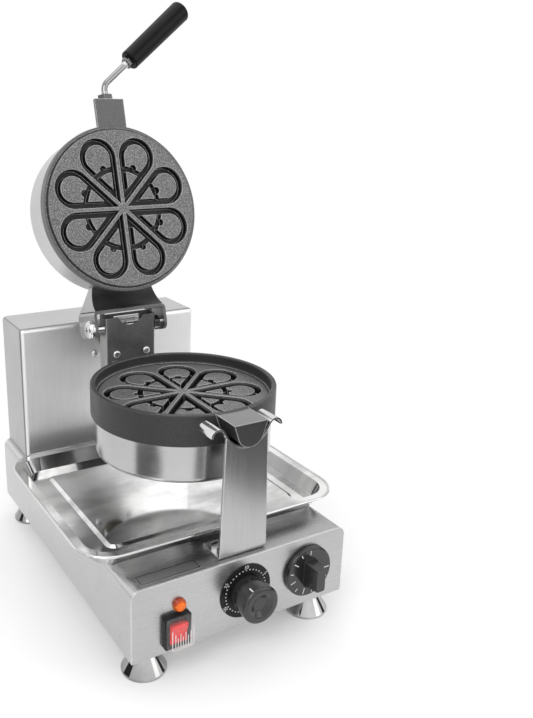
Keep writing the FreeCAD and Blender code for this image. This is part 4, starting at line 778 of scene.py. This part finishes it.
def tray_bead():
    """Rolled edge round the tray's rim."""
    low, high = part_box("drip_tray")
    inset, corner, thick, sunk, steps = 1.3 * MM, 36.7 * MM, 1.5 * MM, 0.4 * MM, 8
    middle, half = (low + high) / 2, (high - low) / 2
    path = []
    for quarter, (sx, sy) in enumerate(((1, 1), (-1, 1), (-1, -1), (1, -1))):
        reach = Vector((sx * (half.x - inset - corner), sy * (half.y - inset - corner), half.z - sunk))
        for step in range(steps + 1):
            angle = pi / 2 * (quarter + step / steps)
            path.append(middle + reach + corner * Vector((cos(angle), sin(angle), 0)))
    bead = Piece()
    bead.loop(path, thick)
    bead.done("tray_bead", bright, "tray", smooth=True)


def cover_ribs():
    """Moulded ribs on the switch's clear cover, with side bars and a foot bar that stand in for bright
    glints along its edges: painted highlight.
    """
    low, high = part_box("switch_cover")
    middle = (low + high) / 2
    axes = (X, Z, Y)
    count, step, thin, bar = 7, 2.7 * MM, 0.35 * MM, 0.4 * MM
    rib_foot, rib_long, rib_short = 9.6 * MM, 7.5 * MM, 5.5 * MM
    ribs = Piece()
    for i in range(count):
        half = rib_short if i % 2 else rib_long
        at = Vector((middle.x + (i - count // 2) * step, low.y, middle.z - rib_foot + half))
        ribs.block(at, axes, (thin, half, thin))
    rim, gap, tall, foot = 1.8 * MM, 0.5 * MM, 10.5 * MM, middle.z - 11 * MM
    wide = (high.x - low.x) / 2 - rim
    # painted highlight: side bars and foot bar put bright lines along the cover's edges
    for side in SIDES:
        ribs.block((middle.x + side * wide, low.y, foot + tall), axes, (bar, tall, thin))
    ribs.block((middle.x, low.y, foot), axes, (wide - gap, bar, thin))
    ribs.done("cover_ribs", frosted_ribs_and_edge_glints, "base", edge=0.15 * MM)


timer_marks()
thermostat_marks()
screw_slots()
arm_stop()
panel_screws()
name_plate()
lamp_dome()
tray_bead()
cover_ribs()
grip_way = LID_TURN @ Vector((sin(HANDLE_ANGLE), -cos(HANDLE_ANGLE), 0))
thread("lug_thread", "lug_nut", LID_TURN @ -Y, 2.7 * MM)
thread("grip_thread", "grip_nut", -grip_way, 2.9 * MM)


def stage_mesh(name, corners, finish):
    """A flat four-sided sheet of the stage."""
    mesh = bpy.data.meshes.new(name)
    mesh.from_pydata(corners, [], [(0, 1, 2, 3)])
    mesh.materials.append(finish.material)
    made = placed(name, mesh)
    return made


def upright(a, b, height):
    """Corners of a sheet that stands on the floor."""
    return [(*a, 0), (*b, 0), (*b, height), (*a, height)]


def lying(low, high, z):
    """Corners of a level sheet."""
    return [(*low, z), (high[0], low[1], z), (*high, z), (low[0], high[1], z)]


def floor():
    """Pale floor near the object that fades to white and runs out of the picture."""
    f = Finish("floor_paper", specular_ior_level=0.0)
    fibre = f.noise(300)
    far = f.span(f.vector("LENGTH", f.place), *FLOOR_FADE)
    f.set("base color", f.mix(far, grey(0.85), grey(0.0)))
    f.set("roughness", f.spread(fibre, 0.8, 0.95))
    f.set("emission color", grey(1.0))
    f.set("emission strength", f.span(far, 0.0, 1.0, 0.2, 1.0))
    stage_mesh("studio_floor", lying((-FLOOR_HALF,) * 2, (FLOOR_HALF,) * 2, 0), f)


def card(name, corners, tone):
    """Card that only the metal's reflections see."""
    f = Finish(name, specular_ior_level=0.0)
    f.set("base color", f.mottled(f.noise(3), tone, 0.8, 1.2))
    made = stage_mesh(name, corners, f)
    made.visible_camera = False
    made.visible_diffuse = False
    made.visible_shadow = False
    made.visible_transmission = False


def world():
    """White to the camera and in reflections, and a soft grey room for the light on the object."""
    made = bpy.data.worlds.new("studio")
    bpy.context.scene.world = made
    made.use_nodes = True
    tree = made.node_tree
    tree.nodes.clear()
    links = tree.links.new
    out = tree.nodes.new("ShaderNodeOutputWorld")
    seen = tree.nodes.new("ShaderNodeBackground")
    room = tree.nodes.new("ShaderNodeBackground")
    pick = tree.nodes.new("ShaderNodeMixShader")
    path = tree.nodes.new("ShaderNodeLightPath").outputs
    seen.inputs[0].default_value = rgba(grey(1.0))
    room.inputs[0].default_value = rgba(grey(0.75))
    white = path["Is Camera Ray"]
    for kind in ("Is Glossy Ray", "Is Transmission Ray"):
        either = tree.nodes.new("ShaderNodeMath")
        either.operation = "MAXIMUM"
        links(white, either.inputs[0])
        links(path[kind], either.inputs[1])
        white = either.outputs[0]
    links(white, pick.inputs[0])
    links(room.outputs[0], pick.inputs[1])
    links(seen.outputs[0], pick.inputs[2])
    links(pick.outputs[0], out.inputs[0])


def softbox(name, at, aim, size, power):
    """A large soft square light aimed at a height of the object."""
    data = bpy.data.lights.new(name, "AREA")
    data.shape = "RECTANGLE"
    data.size = data.size_y = size
    data.energy = power
    made = placed(name, data)
    made.location = at
    made.rotation_euler = (aim * Z - Vector(at)).to_track_quat("-Z", "Y").to_euler()


def camera():
    """The photograph's own view."""
    data = bpy.data.cameras.new("photo_camera")
    data.lens = LENS
    data.sensor_width = SENSOR
    data.shift_x, data.shift_y = SHIFT
    data.clip_start = NEAREST
    made = placed("photo_camera", data)
    columns = [Vector(CAMERA_RIGHT), Vector(CAMERA_UP), -Vector(CAMERA_AHEAD)]
    turn = Matrix([[c[i] for c in columns] for i in range(3)]).to_4x4()
    made.matrix_world = Matrix.Translation(CAMERA_AT) @ turn
    bpy.context.scene.camera = made


floor()
card("back_card", upright((0.0, 0.95), (1.6, 0.95), 0.3), 0.1)
card("front_card", lying((-0.13, -0.72), (-0.03, -0.46), CARD_LIFT), 0.12)
card("post_card", lying((0.18, -1.3), (0.9, -0.43), CARD_LIFT), 0.1)
card("left_card", lying((-0.62, -0.36), (-0.36, -0.1), CARD_LIFT), 0.1)
card("far_left_card", upright((-0.9, -0.1), (-0.9, 0.5), 0.36), 0.05)
card("far_right_card", upright((0.9, -0.6), (0.9, 0.0), 0.3), 0.05)
world()
softbox("key_light", (-1.3, -1.0, 1.7), 0.25, 1.2, 12.5)
softbox("fill_light", (1.2, -1.4, 1.0), 0.2, 1.2, 4)
softbox("top_light", (0.1, 0.2, 1.9), 0.2, 1.4, 6)
camera()
bpy.context.scene.view_settings.view_transform = "Standard"
